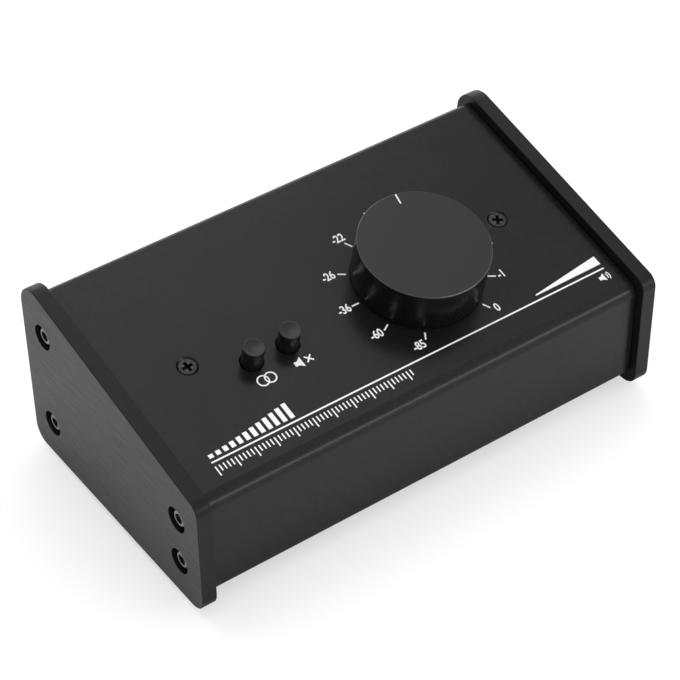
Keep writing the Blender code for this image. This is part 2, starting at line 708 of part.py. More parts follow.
def make_knob():
    """The knob with its pointer groove, the shaft it is fixed to and its set screw."""
    axis = new_axes("knob_axes", PANEL, (KNOB_X, KNOB_U, 0), (0, 0, -POINTER_ANGLE))
    top = KNOB_LIFT + KNOB_HEIGHT
    pocket = max(WASHER_RADIUS, NUT_WIDTH / 2 / cos(pi / 6)) + POCKET_CLEARANCE
    pocket_top = BUSHING_RISE + POCKET_CLEARANCE
    bore = SHAFT_RADIUS + SEAT_GAP
    bore_top = top - KNOB_BORE_TOP
    knob = new_object("volume_knob", turned_mesh("volume_knob", [
        (0, top),
        (KNOB_RADIUS - KNOB_TOP_CHAMFER, top),
        (KNOB_RADIUS, top - KNOB_TOP_CHAMFER),
        (KNOB_RADIUS, KNOB_LIFT + KNOB_FOOT_CHAMFER),
        (KNOB_RADIUS - KNOB_FOOT_CHAMFER, KNOB_LIFT),
        (pocket, KNOB_LIFT),
        (pocket, pocket_top),
        (bore, pocket_top),
        (bore, bore_top),
        (0, bore_top),
    ], KNOB_STEPS), BLACK_KNOB, axis)
    groove = new_cutter("pointer_groove", box_mesh(
        "pointer_groove", (POINTER_WIDTH, POINTER_LENGTH + CUT_OVERRUN, 2 * POINTER_DEPTH)
    ), axis, (0, KNOB_RADIUS + (CUT_OVERRUN - POINTER_LENGTH) / 2, top))
    boolean(knob, groove)
    height = KNOB_LIFT + SET_SCREW_HEIGHT
    hole = rod_mesh("set_screw_hole", SET_SCREW_RADIUS + SEAT_GAP, 0, KNOB_RADIUS + CUT_OVERRUN)
    boolean(knob, new_cutter("set_screw_hole", hole, axis, (0, 0, height), (-pi / 2, 0, 0)))
    shaft_low = HOUSING_TOP - SHAFT_SEAT
    shaft = turned_mesh("attenuator_shaft", [
        (0, SHAFT_RISE),
        (SHAFT_RADIUS - SHAFT_CHAMFER, SHAFT_RISE),
        (SHAFT_RADIUS, SHAFT_RISE - SHAFT_CHAMFER),
        (SHAFT_RADIUS, shaft_low),
        (0, shaft_low),
    ])
    new_object("attenuator_shaft", shaft, BRIGHT_STEEL, axis)
    make_set_screw(axis, height)


def make_set_screw(axis, height):
    """A grub screw whose tip bears on the shaft, with a hex socket."""
    low = SHAFT_RADIUS + SEAT_GAP
    high = low + SET_SCREW_LENGTH
    blank = new_object("set_screw_blank", rod_mesh("knob_set_screw", SET_SCREW_RADIUS, low, high))
    socket = new_cutter("hex_socket", prism_mesh(
        "hex_socket", SOCKET_WIDTH, high - SOCKET_DEPTH, high + CUT_OVERRUN
    ))
    boolean(blank, socket)
    mesh = baked(blank)
    bpy.data.objects.remove(socket)
    new_object("knob_set_screw", mesh, BLACK_STEEL, axis, (0, 0, height), (-pi / 2, 0, 0))


def button_places():
    return {"mono": MONO_X, "mute": MONO_X + BUTTON_PITCH}


def make_buttons():
    """Two push buttons: cap, plunger and switch, each on its own axes."""
    plunger_top = CAP_FOOT + PLUNGER_SOCKET
    plunger_low = SWITCH_TOP - PLUNGER_SEAT
    inner = PLUNGER_RADIUS + SEAT_GAP
    centre = Vector((BUTTON_RADIUS - BUTTON_EDGE_RADIUS, BUTTON_RISE - BUTTON_EDGE_RADIUS))
    rim = arc_points(centre, BUTTON_EDGE_RADIUS, pi / 2, 0, 4)
    cap = turned_mesh("button_cap", [
        (0, BUTTON_RISE - BUTTON_DISH),
        (BUTTON_RADIUS / 2, BUTTON_RISE - BUTTON_DISH * 3 / 4),
        *[(r, z) for r, z in rim],
        (BUTTON_RADIUS, CAP_FOOT + FLANGE_THICKNESS),
        (FLANGE_RADIUS, CAP_FOOT + FLANGE_THICKNESS),
        (FLANGE_RADIUS, CAP_FOOT),
        (inner, CAP_FOOT),
        (inner, plunger_top + SEAT_GAP),
        (0, plunger_top + SEAT_GAP),
    ], KNOB_STEPS // 2)
    plunger = rod_mesh("plunger", PLUNGER_RADIUS, plunger_low, plunger_top)
    floor = BOARD_TOP + SEAT_GAP
    size = (SWITCH_WIDTH, SWITCH_WIDTH, SWITCH_TOP - floor)
    well_low = plunger_low - BUTTON_TRAVEL - TRAVEL_MARGIN
    well = rod_mesh("plunger_well", inner, well_low, SWITCH_TOP + CUT_OVERRUN)
    for name, x in button_places().items():
        axis = new_axes(name + "_axes", PANEL, (x, BUTTON_U, 0))
        new_object(name + "_button", cap, BLACK_PLASTIC, axis)
        new_object(name + "_plunger", plunger, WHITE_PLASTIC, axis)
        block = box_mesh(name + "_switch", size, (0, 0, (SWITCH_TOP + floor) / 2))
        switch = new_object(name + "_switch", block, DARK_PLASTIC, axis)
        bevel(switch, SWITCH_BEVEL, segments=1)
        boolean(switch, new_cutter(name + "_well", well, axis))


# Rear connectors

def make_jacks():
    """Four jack sockets through the rear wall, each with its nut."""
    mouth = SHELL_REAR + JACK_PROUD
    end = JACK_FRONT + JACK_BACK_WALL
    size = (JACK_WIDTH, JACK_REAR - JACK_FRONT, JACK_WIDTH)
    block = box_mesh("jack_block", size, (0, (JACK_REAR + JACK_FRONT) / 2, 0))
    neck = rod_mesh("jack_neck", JACK_BUSHING_RADIUS, JACK_REAR - WEB_OVERLAP, mouth)
    bore = turned_mesh("jack_bore", [
        (0, mouth + CUT_OVERRUN),
        (JACK_BORE_RADIUS + JACK_MOUTH_CHAMFER, mouth + CUT_OVERRUN),
        (JACK_BORE_RADIUS + JACK_MOUTH_CHAMFER, mouth),
        (JACK_BORE_RADIUS, mouth - JACK_MOUTH_CHAMFER),
        (JACK_BORE_RADIUS, end),
        (0, end),
    ])
    nut = hex_nut_mesh("jack_nut", JACK_NUT_WIDTH, JACK_BUSHING_RADIUS + SEAT_GAP, JACK_NUT_THICKNESS)
    facing = (-pi / 2, 0, 0)
    for name, x in zip(JACK_NAMES, JACK_PLACES_X):
        axis = new_axes(name + "_axes", None, (x, 0, JACK_AXIS_Z))
        jack = new_object("jack_" + name, block.copy(), DARK_PLASTIC, axis)
        bevel(jack, JACK_BEVEL, segments=1)
        boolean(jack, new_cutter(name + "_neck", neck, axis, rotation=facing), "UNION")
        boolean(jack, new_cutter(name + "_bore", bore, axis, rotation=facing))
        new_object("jack_nut_" + name, nut, BRIGHT_STEEL, axis, (0, SHELL_REAR + SEAT_GAP, 0), facing)


def jack_board_span():
    """The jack board's front and rear edges."""
    return JACK_FRONT - JACK_BOARD_FRONT, JACK_REAR - JACK_BOARD_MARGIN


def make_jack_board():
    """The board that the jacks stand on."""
    front, rear = jack_board_span()
    half = max(JACK_PLACES_X) + JACK_WIDTH / 2 + JACK_BOARD_MARGIN
    size = (2 * half, rear - front, BOARD_THICKNESS)
    centre = (0, (front + rear) / 2, JACK_BOARD_TOP - BOARD_THICKNESS / 2)
    new_object("jack_board", box_mesh("jack_board", size), CIRCUIT_BOARD, None, centre)


def make_ribbon():
    """Two headers under the boards and the flat cable that runs in a loop between them."""
    size = (HEADER_LENGTH, HEADER_DEPTH, HEADER_HEIGHT)
    upper_n = BOARD_UNDERSIDE - SEAT_GAP - HEADER_HEIGHT / 2
    upper = new_object(
        "control_header", box_mesh("control_header", size), DARK_PLASTIC, PANEL,
        (RIBBON_X, CONTROL_HEADER_U, upper_n),
    )
    lower_y = jack_board_span()[0] + JACK_HEADER_INSET
    lower_z = JACK_BOARD_TOP - BOARD_THICKNESS - SEAT_GAP - HEADER_HEIGHT / 2
    lower = new_object(
        "jack_header", box_mesh("jack_header", size), DARK_PLASTIC, None, (RIBBON_X, lower_y, lower_z)
    )
    for header in (upper, lower):
        bevel(header, HEADER_BEVEL, segments=1)
    face = HEADER_DEPTH / 2 + SEAT_GAP
    start = Vector(panel_to_world(CONTROL_HEADER_U - face, upper_n)).to_3d()
    leave = -Vector((cos(SLOPE), sin(SLOPE))).to_3d()
    end = Vector((lower_y - face, lower_z, 0))
    arrive = Vector((-1, 0, 0))
    path = interpolate_bezier(
        start, start + RIBBON_SLACK * leave, end + RIBBON_SLACK * arrive, end, RIBBON_STEPS
    )
    mesh = strip_mesh("ribbon_cable", [point.to_2d() for point in path], RIBBON_WIDTH)
    ribbon = new_object("ribbon_cable", mesh, RIBBON, None, (RIBBON_X, 0, 0), ALONG_WIDTH)
    solidify = ribbon.modifiers.new("Solidify", "SOLIDIFY")
    solidify.thickness = RIBBON_THICKNESS
    solidify.offset = 0


clear_scene()
PARTS = new_collection("studio_monitor_controller")
CUTTERS = new_collection("cutters")
PANEL = new_axes("panel_axes", None, (0, 0, panel_z(0)), (SLOPE, 0, 0))

BLACK_SHELL = new_material("black_shell", (0.038, 0.038, 0.039), 0.42, 0.2)
BLACK_CHEEK = new_material("black_cheek", (0.060, 0.060, 0.062), 0.38, 0.6)
BLACK_KNOB = new_material("black_knob", (0.045, 0.045, 0.046), 0.30, 0.6)
BLACK_STEEL = new_material("black_steel", (0.050, 0.050, 0.050), 0.35, 0.8)
BRIGHT_STEEL = new_material("bright_steel", (0.62, 0.62, 0.64), 0.28, 1.0)
ZINC = new_material("zinc", (0.45, 0.46, 0.48), 0.45, 1.0)
BLACK_PLASTIC = new_material("black_plastic", (0.030, 0.030, 0.030), 0.35, 0.0)
DARK_PLASTIC = new_material("dark_plastic", (0.035, 0.035, 0.037), 0.50, 0.0)
WHITE_PLASTIC = new_material("white_plastic", (0.80, 0.80, 0.78), 0.45, 0.0)
CIRCUIT_BOARD = new_material("circuit_board", (0.02, 0.12, 0.06), 0.40, 0.0)
RIBBON = new_material("ribbon_grey", (0.45, 0.46, 0.48), 0.55, 0.0)
RUBBER = new_material("rubber", (0.025, 0.025, 0.025), 0.80, 0.0)

shell = shell_sheet()
shell_channels(shell)
shell_openings(shell)
make_cheeks()
make_base_plate()
make_feet()
make_panel_screws()
make_control_board()
make_attenuator()
make_knob()
make_buttons()
make_jacks()
make_jack_board()
make_ribbon()
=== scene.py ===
"""Studio monitor controller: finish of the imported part, printed marks, studio and camera.

Sizes are written in millimetres and turned into metres where they are used. Places are in the
part's own frame: X along the width, the front faces -Y, +Z is up and the feet stand on z = 0.
The sloping panel has a frame of its own: x along the width, u up the slope and n straight out
of the panel's outer face.
"""

from math import atan, cos, pi, radians, sin, tan

import bmesh
import bpy
from mathutils import Matrix, Vector


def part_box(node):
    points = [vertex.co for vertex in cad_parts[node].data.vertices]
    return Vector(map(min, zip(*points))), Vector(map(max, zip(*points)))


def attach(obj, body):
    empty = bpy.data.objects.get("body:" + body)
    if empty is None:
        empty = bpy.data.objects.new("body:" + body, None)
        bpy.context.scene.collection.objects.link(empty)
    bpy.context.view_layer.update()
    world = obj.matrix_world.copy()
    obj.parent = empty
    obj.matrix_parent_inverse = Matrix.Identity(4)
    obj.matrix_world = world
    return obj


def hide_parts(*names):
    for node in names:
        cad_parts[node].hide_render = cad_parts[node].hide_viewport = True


MM = 0.001

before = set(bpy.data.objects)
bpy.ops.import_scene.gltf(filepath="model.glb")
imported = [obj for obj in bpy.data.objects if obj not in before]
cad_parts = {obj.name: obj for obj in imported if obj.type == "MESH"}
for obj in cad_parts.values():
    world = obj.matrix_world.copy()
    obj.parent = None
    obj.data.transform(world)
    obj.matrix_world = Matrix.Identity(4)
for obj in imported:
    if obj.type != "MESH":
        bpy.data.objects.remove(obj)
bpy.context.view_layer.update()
scene = bpy.context.scene


# Places on the part, which repeat the sizes of its source

RIDE_HEIGHT = 2.5
CHEEK_OUTER = 81.5
CHEEK_HALF_DEPTH = 45.4
FRONT_HEIGHT = 41.3
REAR_HEIGHT = 63.1
PANEL_RECESS = 3.3
SLOPE = atan((REAR_HEIGHT - FRONT_HEIGHT) / (2 * CHEEK_HALF_DEPTH))
PANEL_Z = RIDE_HEIGHT + FRONT_HEIGHT + CHEEK_HALF_DEPTH * tan(SLOPE) - PANEL_RECESS / cos(SLOPE)
PANEL = Matrix.Translation((0, 0, PANEL_Z * MM)) @ Matrix.Rotation(SLOPE, 4, "X")

KNOB = (21.12, -7.5)
KNOB_RADIUS = 20.0
KNOB_TOP = 14.7
KNOB_FOOT = 0.6
KNOB_BREAK = 0.3
KNOB_WELL_RADIUS = 8.2
KNOB_WELL_TOP = 5.7
SHAFT_BORE_RADIUS = 3.3
SHAFT_BORE_TOP = 12.6
SET_SCREW_RADIUS = 1.75
SET_SCREW_HEIGHT = 8.8
SET_SCREW_HOLE_LENGTH = 20.0
SET_SCREW_HOLE_MIDDLE = 14.0
POINTER_TURN = radians(10)
POINTER_ENDS = (16.0, 19.7)
POINTER_HALF_WIDTH = 0.21
POINTER_THICKNESS = 0.05

BUTTONS = {"mono": -38.95, "mute": -26.55}
BUTTON_U = -9.6
BUTTON_RADIUS = 3.2
BUTTON_TOP = 6.7
BUTTON_DISH = 0.5
BUTTON_LIP = 0.2
BUTTON_FLANGE_RADIUS = 4.5
BUTTON_FLANGE_TOP = -2.1
BUTTON_FOOT = -3.1
PLUNGER_BORE_RADIUS = 1.8
PLUNGER_BORE_TOP = 1.2

PANEL_SCREWS = {"left": -55.6, "right": 55.6}
PANEL_SCREW_U = -2.0
PANEL_SCREW_SINK = 0.25
PANEL_SCREW_TURNS = {"left": 3, "right": 58}
CHEEK_SCREW_SINK = 0.7
CHEEK_SCREWS = {
    "front_lower": (-34.4, 15.4),
    "front_upper": (-34.4, 31.74),
    "rear_lower": (34.4, 15.4),
    "rear_upper": (34.4, 49.16),
}
CHEEK_SCREW_TURNS = (23, 64, 8, 41)
CHEEK_SCREW_EXTRA_TURN = 12
SHANK_RADIUS = 1.35
SHANK_TIP_RADIUS = 0.95

JACKS = {"in_left": -50.0, "in_right": -24.0, "out_left": 24.0, "out_right": 50.0}
JACK_Z = 31.0
JACK_RING = (8.9, 9.25)
JACK_ARROW_U = 12.0
JACK_ARROW_SIZE = 2.6
REAR_Y = 41.3
RIBBON_PITCH = 1.27

SOLID_MERGE = 0.002
PRINT_MERGE = 0.001
PRINT_LIFT = 0.02
PRINT_THICKNESS = 0.03
CROSSING_LIFT = 0.004
TICK_MIDDLE = 22.4
TICK_LENGTH = 2.5
TICK_WIDTH = 0.5
NUMBER_SIZE = 4.0
NUMBER_SQUEEZE = 0.80
NUMBER_WEIGHT = 0.09

# Levels of the studio

FLOOR_GLOW = 0.50
# Millimetres from the part's outline over which the floor's glow in reflections fades in: a
# painted shadow round the part.
FLOOR_PAINTED_SHADOW_EDGE = (-6, 16)
ROOM_LIGHT = 0.80
LIGHT_DISTANCE = 0.9
LIGHTS = {
    "top_box": ((0.04, 0.45, 0.90), 0.9, 0.6, 1.65),
    "front_strip": ((0.45, -0.85, 0.32), 0.9, 0.14, 2.5),
    "rear_strip": ((0.45, 0.85, 0.32), 0.9, 0.20, 1.4),
}

# The photograph's camera: turned about the part's middle, with lengths as shares of its width

CAMERA_AZIMUTH = -35.314
CAMERA_ELEVATION = 41.537
CAMERA_ROLL = -0.670
CAMERA_DISTANCE = 4.4433
CAMERA_ACROSS = -0.0099
CAMERA_UPWARD = 0.12653
IMAGE_PIXELS = 680
FOCAL_PIXELS = 2376.7
SENSOR_WIDTH = 36


def mm(*values):
    return Vector(values) * MM


# Materials

class Surface:
    """A Principled material built up from procedural detail in the part's own coordinates."""

    def __init__(self, name, colour, roughness, metallic=0.0, specular=0.5):
        self.material = bpy.data.materials.new(name)
        self.material.use_nodes = True
        self.material.diffuse_color = (*colour, 1)
        self.tree = self.material.node_tree
        self.shader = self.tree.nodes["Principled BSDF"]
        self.shader.inputs["Metallic"].default_value = metallic
        self.shader.inputs["Specular IOR Level"].default_value = specular
        self.shader.inputs["Base Color"].default_value = (*colour, 1)
        self.shader.inputs["Roughness"].default_value = roughness
        self.place = self.node("ShaderNodeTexCoord").outputs["Object"]
        self.colour = None
        self.rough = None
        self.normal = None
        self.base = colour

    def node(self, kind, **settings):
        made = self.tree.nodes.new(kind)
        for key, value in settings.items():
            setattr(made, key, value)
        return made

    def link(self, output, target):
        self.tree.links.new(output, target)

    def mapped(self, scale):
        mapping = self.node("ShaderNodeMapping")
        self.link(self.place, mapping.inputs["Vector"])
        mapping.inputs["Scale"].default_value = scale
        return mapping.outputs["Vector"]

    def noise(self, size, detail=4, roughness=0.55, scale=(1, 1, 1)):
        """Noise whose features are about size millimetres across, longer where scale is small."""
        noise = self.node("ShaderNodeTexNoise")
        noise.inputs["Scale"].default_value = 1 / (size * MM)
        noise.inputs["Detail"].default_value = detail
        noise.inputs["Roughness"].default_value = roughness
        self.link(self.mapped(scale), noise.inputs["Vector"])
        return noise.outputs["Fac"]

    def spread(self, value, low, high, start=0.3, end=0.7):
        """Remaps a 0..1 value between two results."""
        ranged = self.node("ShaderNodeMapRange")
        ranged.inputs["From Min"].default_value = start
        ranged.inputs["From Max"].default_value = end
        ranged.inputs["To Min"].default_value = low
        ranged.inputs["To Max"].default_value = high
        self.link(value, ranged.inputs["Value"])
        return ranged.outputs["Result"]

    def paint(self, factor, colour):
        """Mixes a colour over what is there, by a factor."""
        mix = self.node("ShaderNodeMix", data_type="RGBA")
        colours = [s for s in mix.inputs if s.type == "RGBA"]
        if self.colour is None:
            colours[0].default_value = (*self.base, 1)
        else:
            self.link(self.colour, colours[0])
        colours[1].default_value = (*colour, 1)
        self.link(factor, mix.inputs[0])
        self.colour = [s for s in mix.outputs if s.type == "RGBA"][0]
        return self

    def vary_roughness(self, value, low, high):
        """Adds a 0..1 value, remapped between two results, to the roughness."""
        added = self.spread(value, low, high)
        if self.rough is None:
            self.rough = added
        else:
            total = self.node("ShaderNodeMath", operation="ADD", use_clamp=True)
            self.link(self.rough, total.inputs[0])
            self.link(added, total.inputs[1])
            self.rough = total.outputs[0]
        return self

    def bump(self, value, depth):
        """Raises the surface by a 0..1 value times depth millimetres."""
        bump = self.node("ShaderNodeBump")
        bump.inputs["Distance"].default_value = depth * MM
        self.link(value, bump.inputs["Height"])
        if self.normal is not None:
            self.link(self.normal, bump.inputs["Normal"])
        self.normal = bump.outputs["Normal"]
        return self

    def edges(self, low=0.515, high=0.60):
        """How much a spot is an outer edge, where handling wears the finish."""
        pointed = self.node("ShaderNodeNewGeometry").outputs["Pointiness"]
        wear = self.spread(pointed, 0, 1, low, high)
        broken = self.node("ShaderNodeMath", operation="MULTIPLY", use_clamp=True)
        self.link(wear, broken.inputs[0])
        self.link(self.spread(self.noise(1.6, 5), 0.25, 1.0, 0.35, 0.6), broken.inputs[1])
        return broken.outputs[0]

    def done(self):
        if self.colour is not None:
            self.link(self.colour, self.shader.inputs["Base Color"])
        if self.rough is not None:
            self.link(self.rough, self.shader.inputs["Roughness"])
        if self.normal is not None:
            self.link(self.normal, self.shader.inputs["Normal"])
        return self.material


def coated_sheet():
    """Black coated sheet: a fine even grain, faint mottling and slightly bared edges."""
    s = Surface("coated_sheet", (0.0045, 0.0045, 0.0047), 0.38, specular=0.20)
    grain = s.noise(0.16, 3, 0.6)
    s.paint(s.spread(s.noise(22, 3), 0.0, 0.55), (0.0068, 0.0068, 0.0070))
    s.paint(s.spread(grain, 0.0, 0.5), (0.0085, 0.0085, 0.0087))
    s.paint(s.edges(), (0.020, 0.020, 0.021))
    s.vary_roughness(s.noise(14, 4), 0.24, 0.28)
    s.vary_roughness(grain, -0.02, 0.02)
    s.bump(grain, 0.003)
    return s.done()


def brushed_plate(name, share, specular):
    """Black anodised plate, brushed along its length; share scales its colours down, which makes
    a darker copy that paints shade.
    """
    s = Surface(name, (0.008 * share, 0.008 * share, 0.0083 * share), 0.42, specular=specular)
    long_lines = s.noise(0.22, 4, 0.7, scale=(1, 0.012, 1))
    short_lines = s.noise(0.5, 3, 0.6, scale=(1, 0.04, 1))
    s.paint(s.spread(long_lines, 0.15, 0.5), (0.018 * share, 0.018 * share, 0.0185 * share))
    s.paint(s.spread(s.noise(30, 3), 0.0, 0.4), (0.007 * share, 0.007 * share, 0.0072 * share))
    s.paint(s.edges(0.53, 0.66), (0.026, 0.026, 0.0265))
    s.vary_roughness(short_lines, 0.36, 0.50)
    s.vary_roughness(long_lines, -0.03, 0.03)
    s.bump(long_lines, 0.006)
    s.bump(short_lines, 0.008)
    s.shader.inputs["Anisotropic"].default_value = 0.35
    return s.done()


def turned_face():
    """The knob's flat face: black anodised, with fine turning rings about its axis."""
    s = Surface("turned_face", (0.010, 0.010, 0.0102), 0.36, specular=0.30)
    from_centre = s.node("ShaderNodeVectorMath", operation="SUBTRACT")
    s.link(s.place, from_centre.inputs[0])
    from_centre.inputs[1].default_value = PANEL @ mm(*KNOB, KNOB_TOP)
    reach = s.node("ShaderNodeVectorMath", operation="LENGTH")
    s.link(from_centre.outputs[0], reach.inputs[0])
    rings = s.node("ShaderNodeTexNoise", noise_dimensions="1D")
    rings.inputs["Scale"].default_value = 1 / (0.16 * MM)
    rings.inputs["Detail"].default_value = 3
    s.link(reach.outputs["Value"], rings.inputs["W"])
    s.bump(rings.outputs["Fac"], 0.004)
    s.vary_roughness(rings.outputs["Fac"], 0.33, 0.40)
    s.paint(s.spread(rings.outputs["Fac"], 0.0, 0.5), (0.015, 0.015, 0.0153))
    fine = s.noise(0.14, 3, 0.6)
    s.paint(s.spread(fine, 0.0, 0.4), (0.015, 0.015, 0.0153))
    s.bump(fine, 0.003)
    return s.done()


def turned_side():
    """The knob's side: black anodised and smoother than its face."""
    s = Surface("turned_side", (0.0035, 0.0035, 0.00357), 0.20, specular=0.30)
    fine = s.noise(0.14, 3, 0.6)
    s.vary_roughness(s.noise(6, 3), 0.22, 0.30)
    s.paint(s.spread(fine, 0.0, 0.4), (0.00525, 0.00525, 0.005355))
    s.bump(fine, 0.003)
    return s.done()


def bright_cut():
    """The knob's rim, a fine cut that is a little paler than the faces."""
    s = Surface("bright_cut", (0.040, 0.040, 0.041), 0.34, metallic=0.6)
    s.paint(s.spread(s.noise(0.8, 4), 0.0, 0.7), (0.060, 0.060, 0.061))
    s.vary_roughness(s.noise(0.3, 3), 0.30, 0.42)
    s.bump(s.noise(0.1, 2), 0.002)
    return s.done()


def satin_black(name, shade, roughness, specular):
    """Small black parts: satin with a fine skin."""
    s = Surface(name, (shade, shade, shade * 1.02), roughness, specular=specular)
    skin = s.noise(0.12, 3, 0.6)
    s.paint(s.spread(s.noise(2.2, 4), 0.0, 0.6), (1.7 * shade, 1.7 * shade, 1.72 * shade))
    s.paint(s.edges(0.52, 0.64), (3.5 * shade, 3.5 * shade, 3.5 * shade))
    s.vary_roughness(skin, roughness - 0.04, roughness + 0.06)
    s.bump(skin, 0.004)
    return s.done()


def black_oxide():
    """Blackened steel screws: dark, a little bare metal on the edges of the head and recess."""
    s = Surface("black_oxide", (0.020, 0.0195, 0.0195), 0.36, metallic=0.4, specular=0.34)
    s.paint(s.spread(s.noise(0.7, 5), 0.0, 0.7), (0.036, 0.035, 0.034))
    s.paint(s.edges(0.54, 0.68), (0.12, 0.116, 0.112))
    s.vary_roughness(s.noise(0.35, 4), 0.30, 0.46)
    s.bump(s.noise(0.2, 3), 0.004)
    return s.done()


def worn_oxide():
    """The rounded shoulder of a blackened head, paler and more metallic than the rest: a painted
    highlight.
    """
    s = Surface("worn_oxide", (0.17, 0.168, 0.165), 0.30, metallic=0.8)
    s.paint(s.spread(s.noise(0.5, 5), 0.0, 0.8), (0.27, 0.267, 0.262))
    s.vary_roughness(s.noise(0.3, 4), 0.24, 0.38)
    s.bump(s.noise(0.2, 3), 0.003)
    return s.done()


def nickel():
    s = Surface("nickel_plate", (0.60, 0.595, 0.58), 0.24, metallic=1.0)
    s.paint(s.spread(s.noise(3.0, 5), 0.0, 0.6), (0.50, 0.49, 0.47))
    s.vary_roughness(s.noise(0.8, 5), 0.18, 0.34)
    s.bump(s.noise(0.25, 4, scale=(1, 1, 0.3)), 0.003)
    return s.done()


def zinc():
    s = Surface("zinc_plate", (0.46, 0.47, 0.49), 0.42, metallic=1.0)
    s.paint(s.spread(s.noise(4.0, 4), 0.0, 0.8), (0.36, 0.37, 0.39))
    s.vary_roughness(s.noise(1.2, 4), 0.34, 0.52)
    s.bump(s.noise(0.6, 3), 0.008)
    return s.done()


def solder_resist():
    """Green board: copper tracks show faintly through the lacquer."""
    s = Surface("solder_resist", (0.012, 0.085, 0.040), 0.34, specular=0.5)
    tracks = s.node("ShaderNodeTexBrick")
    s.link(s.place, tracks.inputs["Vector"])
    tracks.inputs["Scale"].default_value = 1 / (6 * MM)
    tracks.inputs["Mortar Size"].default_value = 0.06
    s.paint(s.spread(tracks.outputs["Fac"], 0.0, 0.7, 0, 1), (0.035, 0.17, 0.075))
    s.vary_roughness(s.noise(3, 4), 0.30, 0.40)
    s.bump(tracks.outputs["Fac"], 0.02)
    return s.done()


def ribbon_grey():
    """Ribbon cable: ten wires side by side and one marked edge."""
    s = Surface("ribbon_wires", (0.34, 0.35, 0.37), 0.5)
    wires = s.node("ShaderNodeTexWave", wave_type="BANDS", bands_direction="X")
    s.link(s.place, wires.inputs["Vector"])
    wires.inputs["Scale"].default_value = 2 * pi / 20 / (RIBBON_PITCH * MM)
    s.bump(wires.outputs["Fac"], 0.2)
    s.paint(s.spread(wires.outputs["Fac"], 0.0, 0.5, 0, 1), (0.42, 0.43, 0.45))
    s.vary_roughness(s.noise(2, 3), 0.45, 0.56)
    return s.done()


def white_moulding():
    s = Surface("white_moulding", (0.78, 0.78, 0.75), 0.42)
    s.paint(s.spread(s.noise(2, 3), 0.0, 0.4), (0.70, 0.70, 0.66))
    s.vary_roughness(s.noise(0.4, 3), 0.38, 0.5)
    s.bump(s.noise(0.15, 2), 0.004)
    return s.done()


def moulded_black():
    s = Surface("moulded_black", (0.020, 0.020, 0.021), 0.48)
    s.paint(s.spread(s.noise(5, 4), 0.0, 0.6), (0.032, 0.032, 0.033))
    s.paint(s.edges(), (0.07, 0.07, 0.07))
    s.vary_roughness(s.noise(0.5, 4), 0.42, 0.56)
    s.bump(s.noise(0.22, 3), 0.010)
    return s.done()


def soft_rubber():
    """Rubber feet: matt, dusty where they touch the desk."""
    s = Surface("soft_rubber", (0.020, 0.020, 0.020), 0.82, specular=0.3)
    s.paint(s.spread(s.noise(1.5, 6), 0.0, 0.7, 0.4, 0.75), (0.075, 0.073, 0.070))
    s.vary_roughness(s.noise(0.6, 4), 0.74, 0.92)
    s.bump(s.noise(0.3, 4), 0.03)
    return s.done()


def print_white():
    """Screen print: opaque white ink with a faint mesh texture and soft edges of tone."""
    s = Surface("print_white", (0.93, 0.93, 0.93), 0.48, specular=0.4)
    s.paint(s.spread(s.noise(0.5, 4), 0.0, 0.35), (0.84, 0.84, 0.845))
    s.vary_roughness(s.noise(0.2, 3), 0.42, 0.55)
    s.bump(s.noise(0.12, 2), 0.004)
    return s.done()


SHEET = coated_sheet()
PLATE = brushed_plate("brushed_plate", 1.0, 0.36)
# The plate again with its colours scaled down: painted shade for the cheeks' rims, holes and
# inner faces.
PLATE_PAINTED_SHADE = brushed_plate("cut_plate", 0.45, 0.20)
KNOB_FACE = turned_face()
KNOB_SIDE = turned_side()
KNOB_EDGE = bright_cut()
CAP = satin_black("button_satin", 0.006, 0.27, 0.34)
OXIDE = black_oxide()
OXIDE_HIGHLIGHT = worn_oxide()
# Near black with little shine, for the screws' recesses, the pan heads' middles and their shanks:
# painted shade.
RECESS_SHADE = satin_black("recess_black", 0.003, 0.45, 0.12)
NICKEL = nickel()
ZINC = zinc()
BOARD = solder_resist()
WIRES = ribbon_grey()
WHITE = white_moulding()
MOULDED = moulded_black()
RUBBER = soft_rubber()
INK = print_white()


# Pieces

def place(thing, body, stands_for=()):
    """Puts a finished piece on its body and the nodes that it stands for."""
    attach(thing, body)
    if stands_for:
        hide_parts(*stands_for)
    return thing


def add_object(name, mesh, materials, matrix=None):
    thing = bpy.data.objects.new(name, mesh)
    scene.collection.objects.link(thing)
    mesh.materials.clear()
    for material in materials:
        mesh.materials.append(material)
    if matrix is not None:
        thing.matrix_world = matrix
    return thing


def to_mesh(name, working, smooth=True, angle=35):
    bmesh.ops.recalc_face_normals(working, faces=working.faces)
    mesh = bpy.data.meshes.new(name)
    working.to_mesh(mesh)
    working.free()
    if smooth:
        mesh.shade_smooth()
        mesh.set_sharp_from_angle(angle=radians(angle))
    return mesh


def rounded(thing, width):
    """Rounds sharp edges and lets each flat face shade flat."""
    bevel = thing.modifiers.new("Bevel", "BEVEL")
    bevel.width = width * MM
    bevel.segments = 2
    bevel.limit_method = "ANGLE"
    bevel.angle_limit = radians(40)
    bevel.use_clamp_overlap = True
    weighted = thing.modifiers.new("Weighted", "WEIGHTED_NORMAL")
    weighted.weight = 100
    weighted.keep_sharp = True


def dressed(node, body, materials, width):
    """A node's own solid as a clean mesh with rounded edges and smooth curved faces."""
    working = bmesh.new()
    working.from_mesh(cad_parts[node].data)
    bmesh.ops.remove_doubles(working, verts=working.verts, dist=SOLID_MERGE * MM)
    bmesh.ops.dissolve_limit(
        working, angle_limit=radians(0.4), verts=working.verts, edges=working.edges
    )
    thing = add_object(node + "_skin", to_mesh(node + "_skin", working), materials)
    rounded(thing, width)
    return place(thing, body, (node,))


def finish_node(node, material):
    """Gives its finish to a node that keeps its own shape."""
    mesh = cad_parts[node].data
    mesh.materials.clear()
    mesh.materials.append(material)


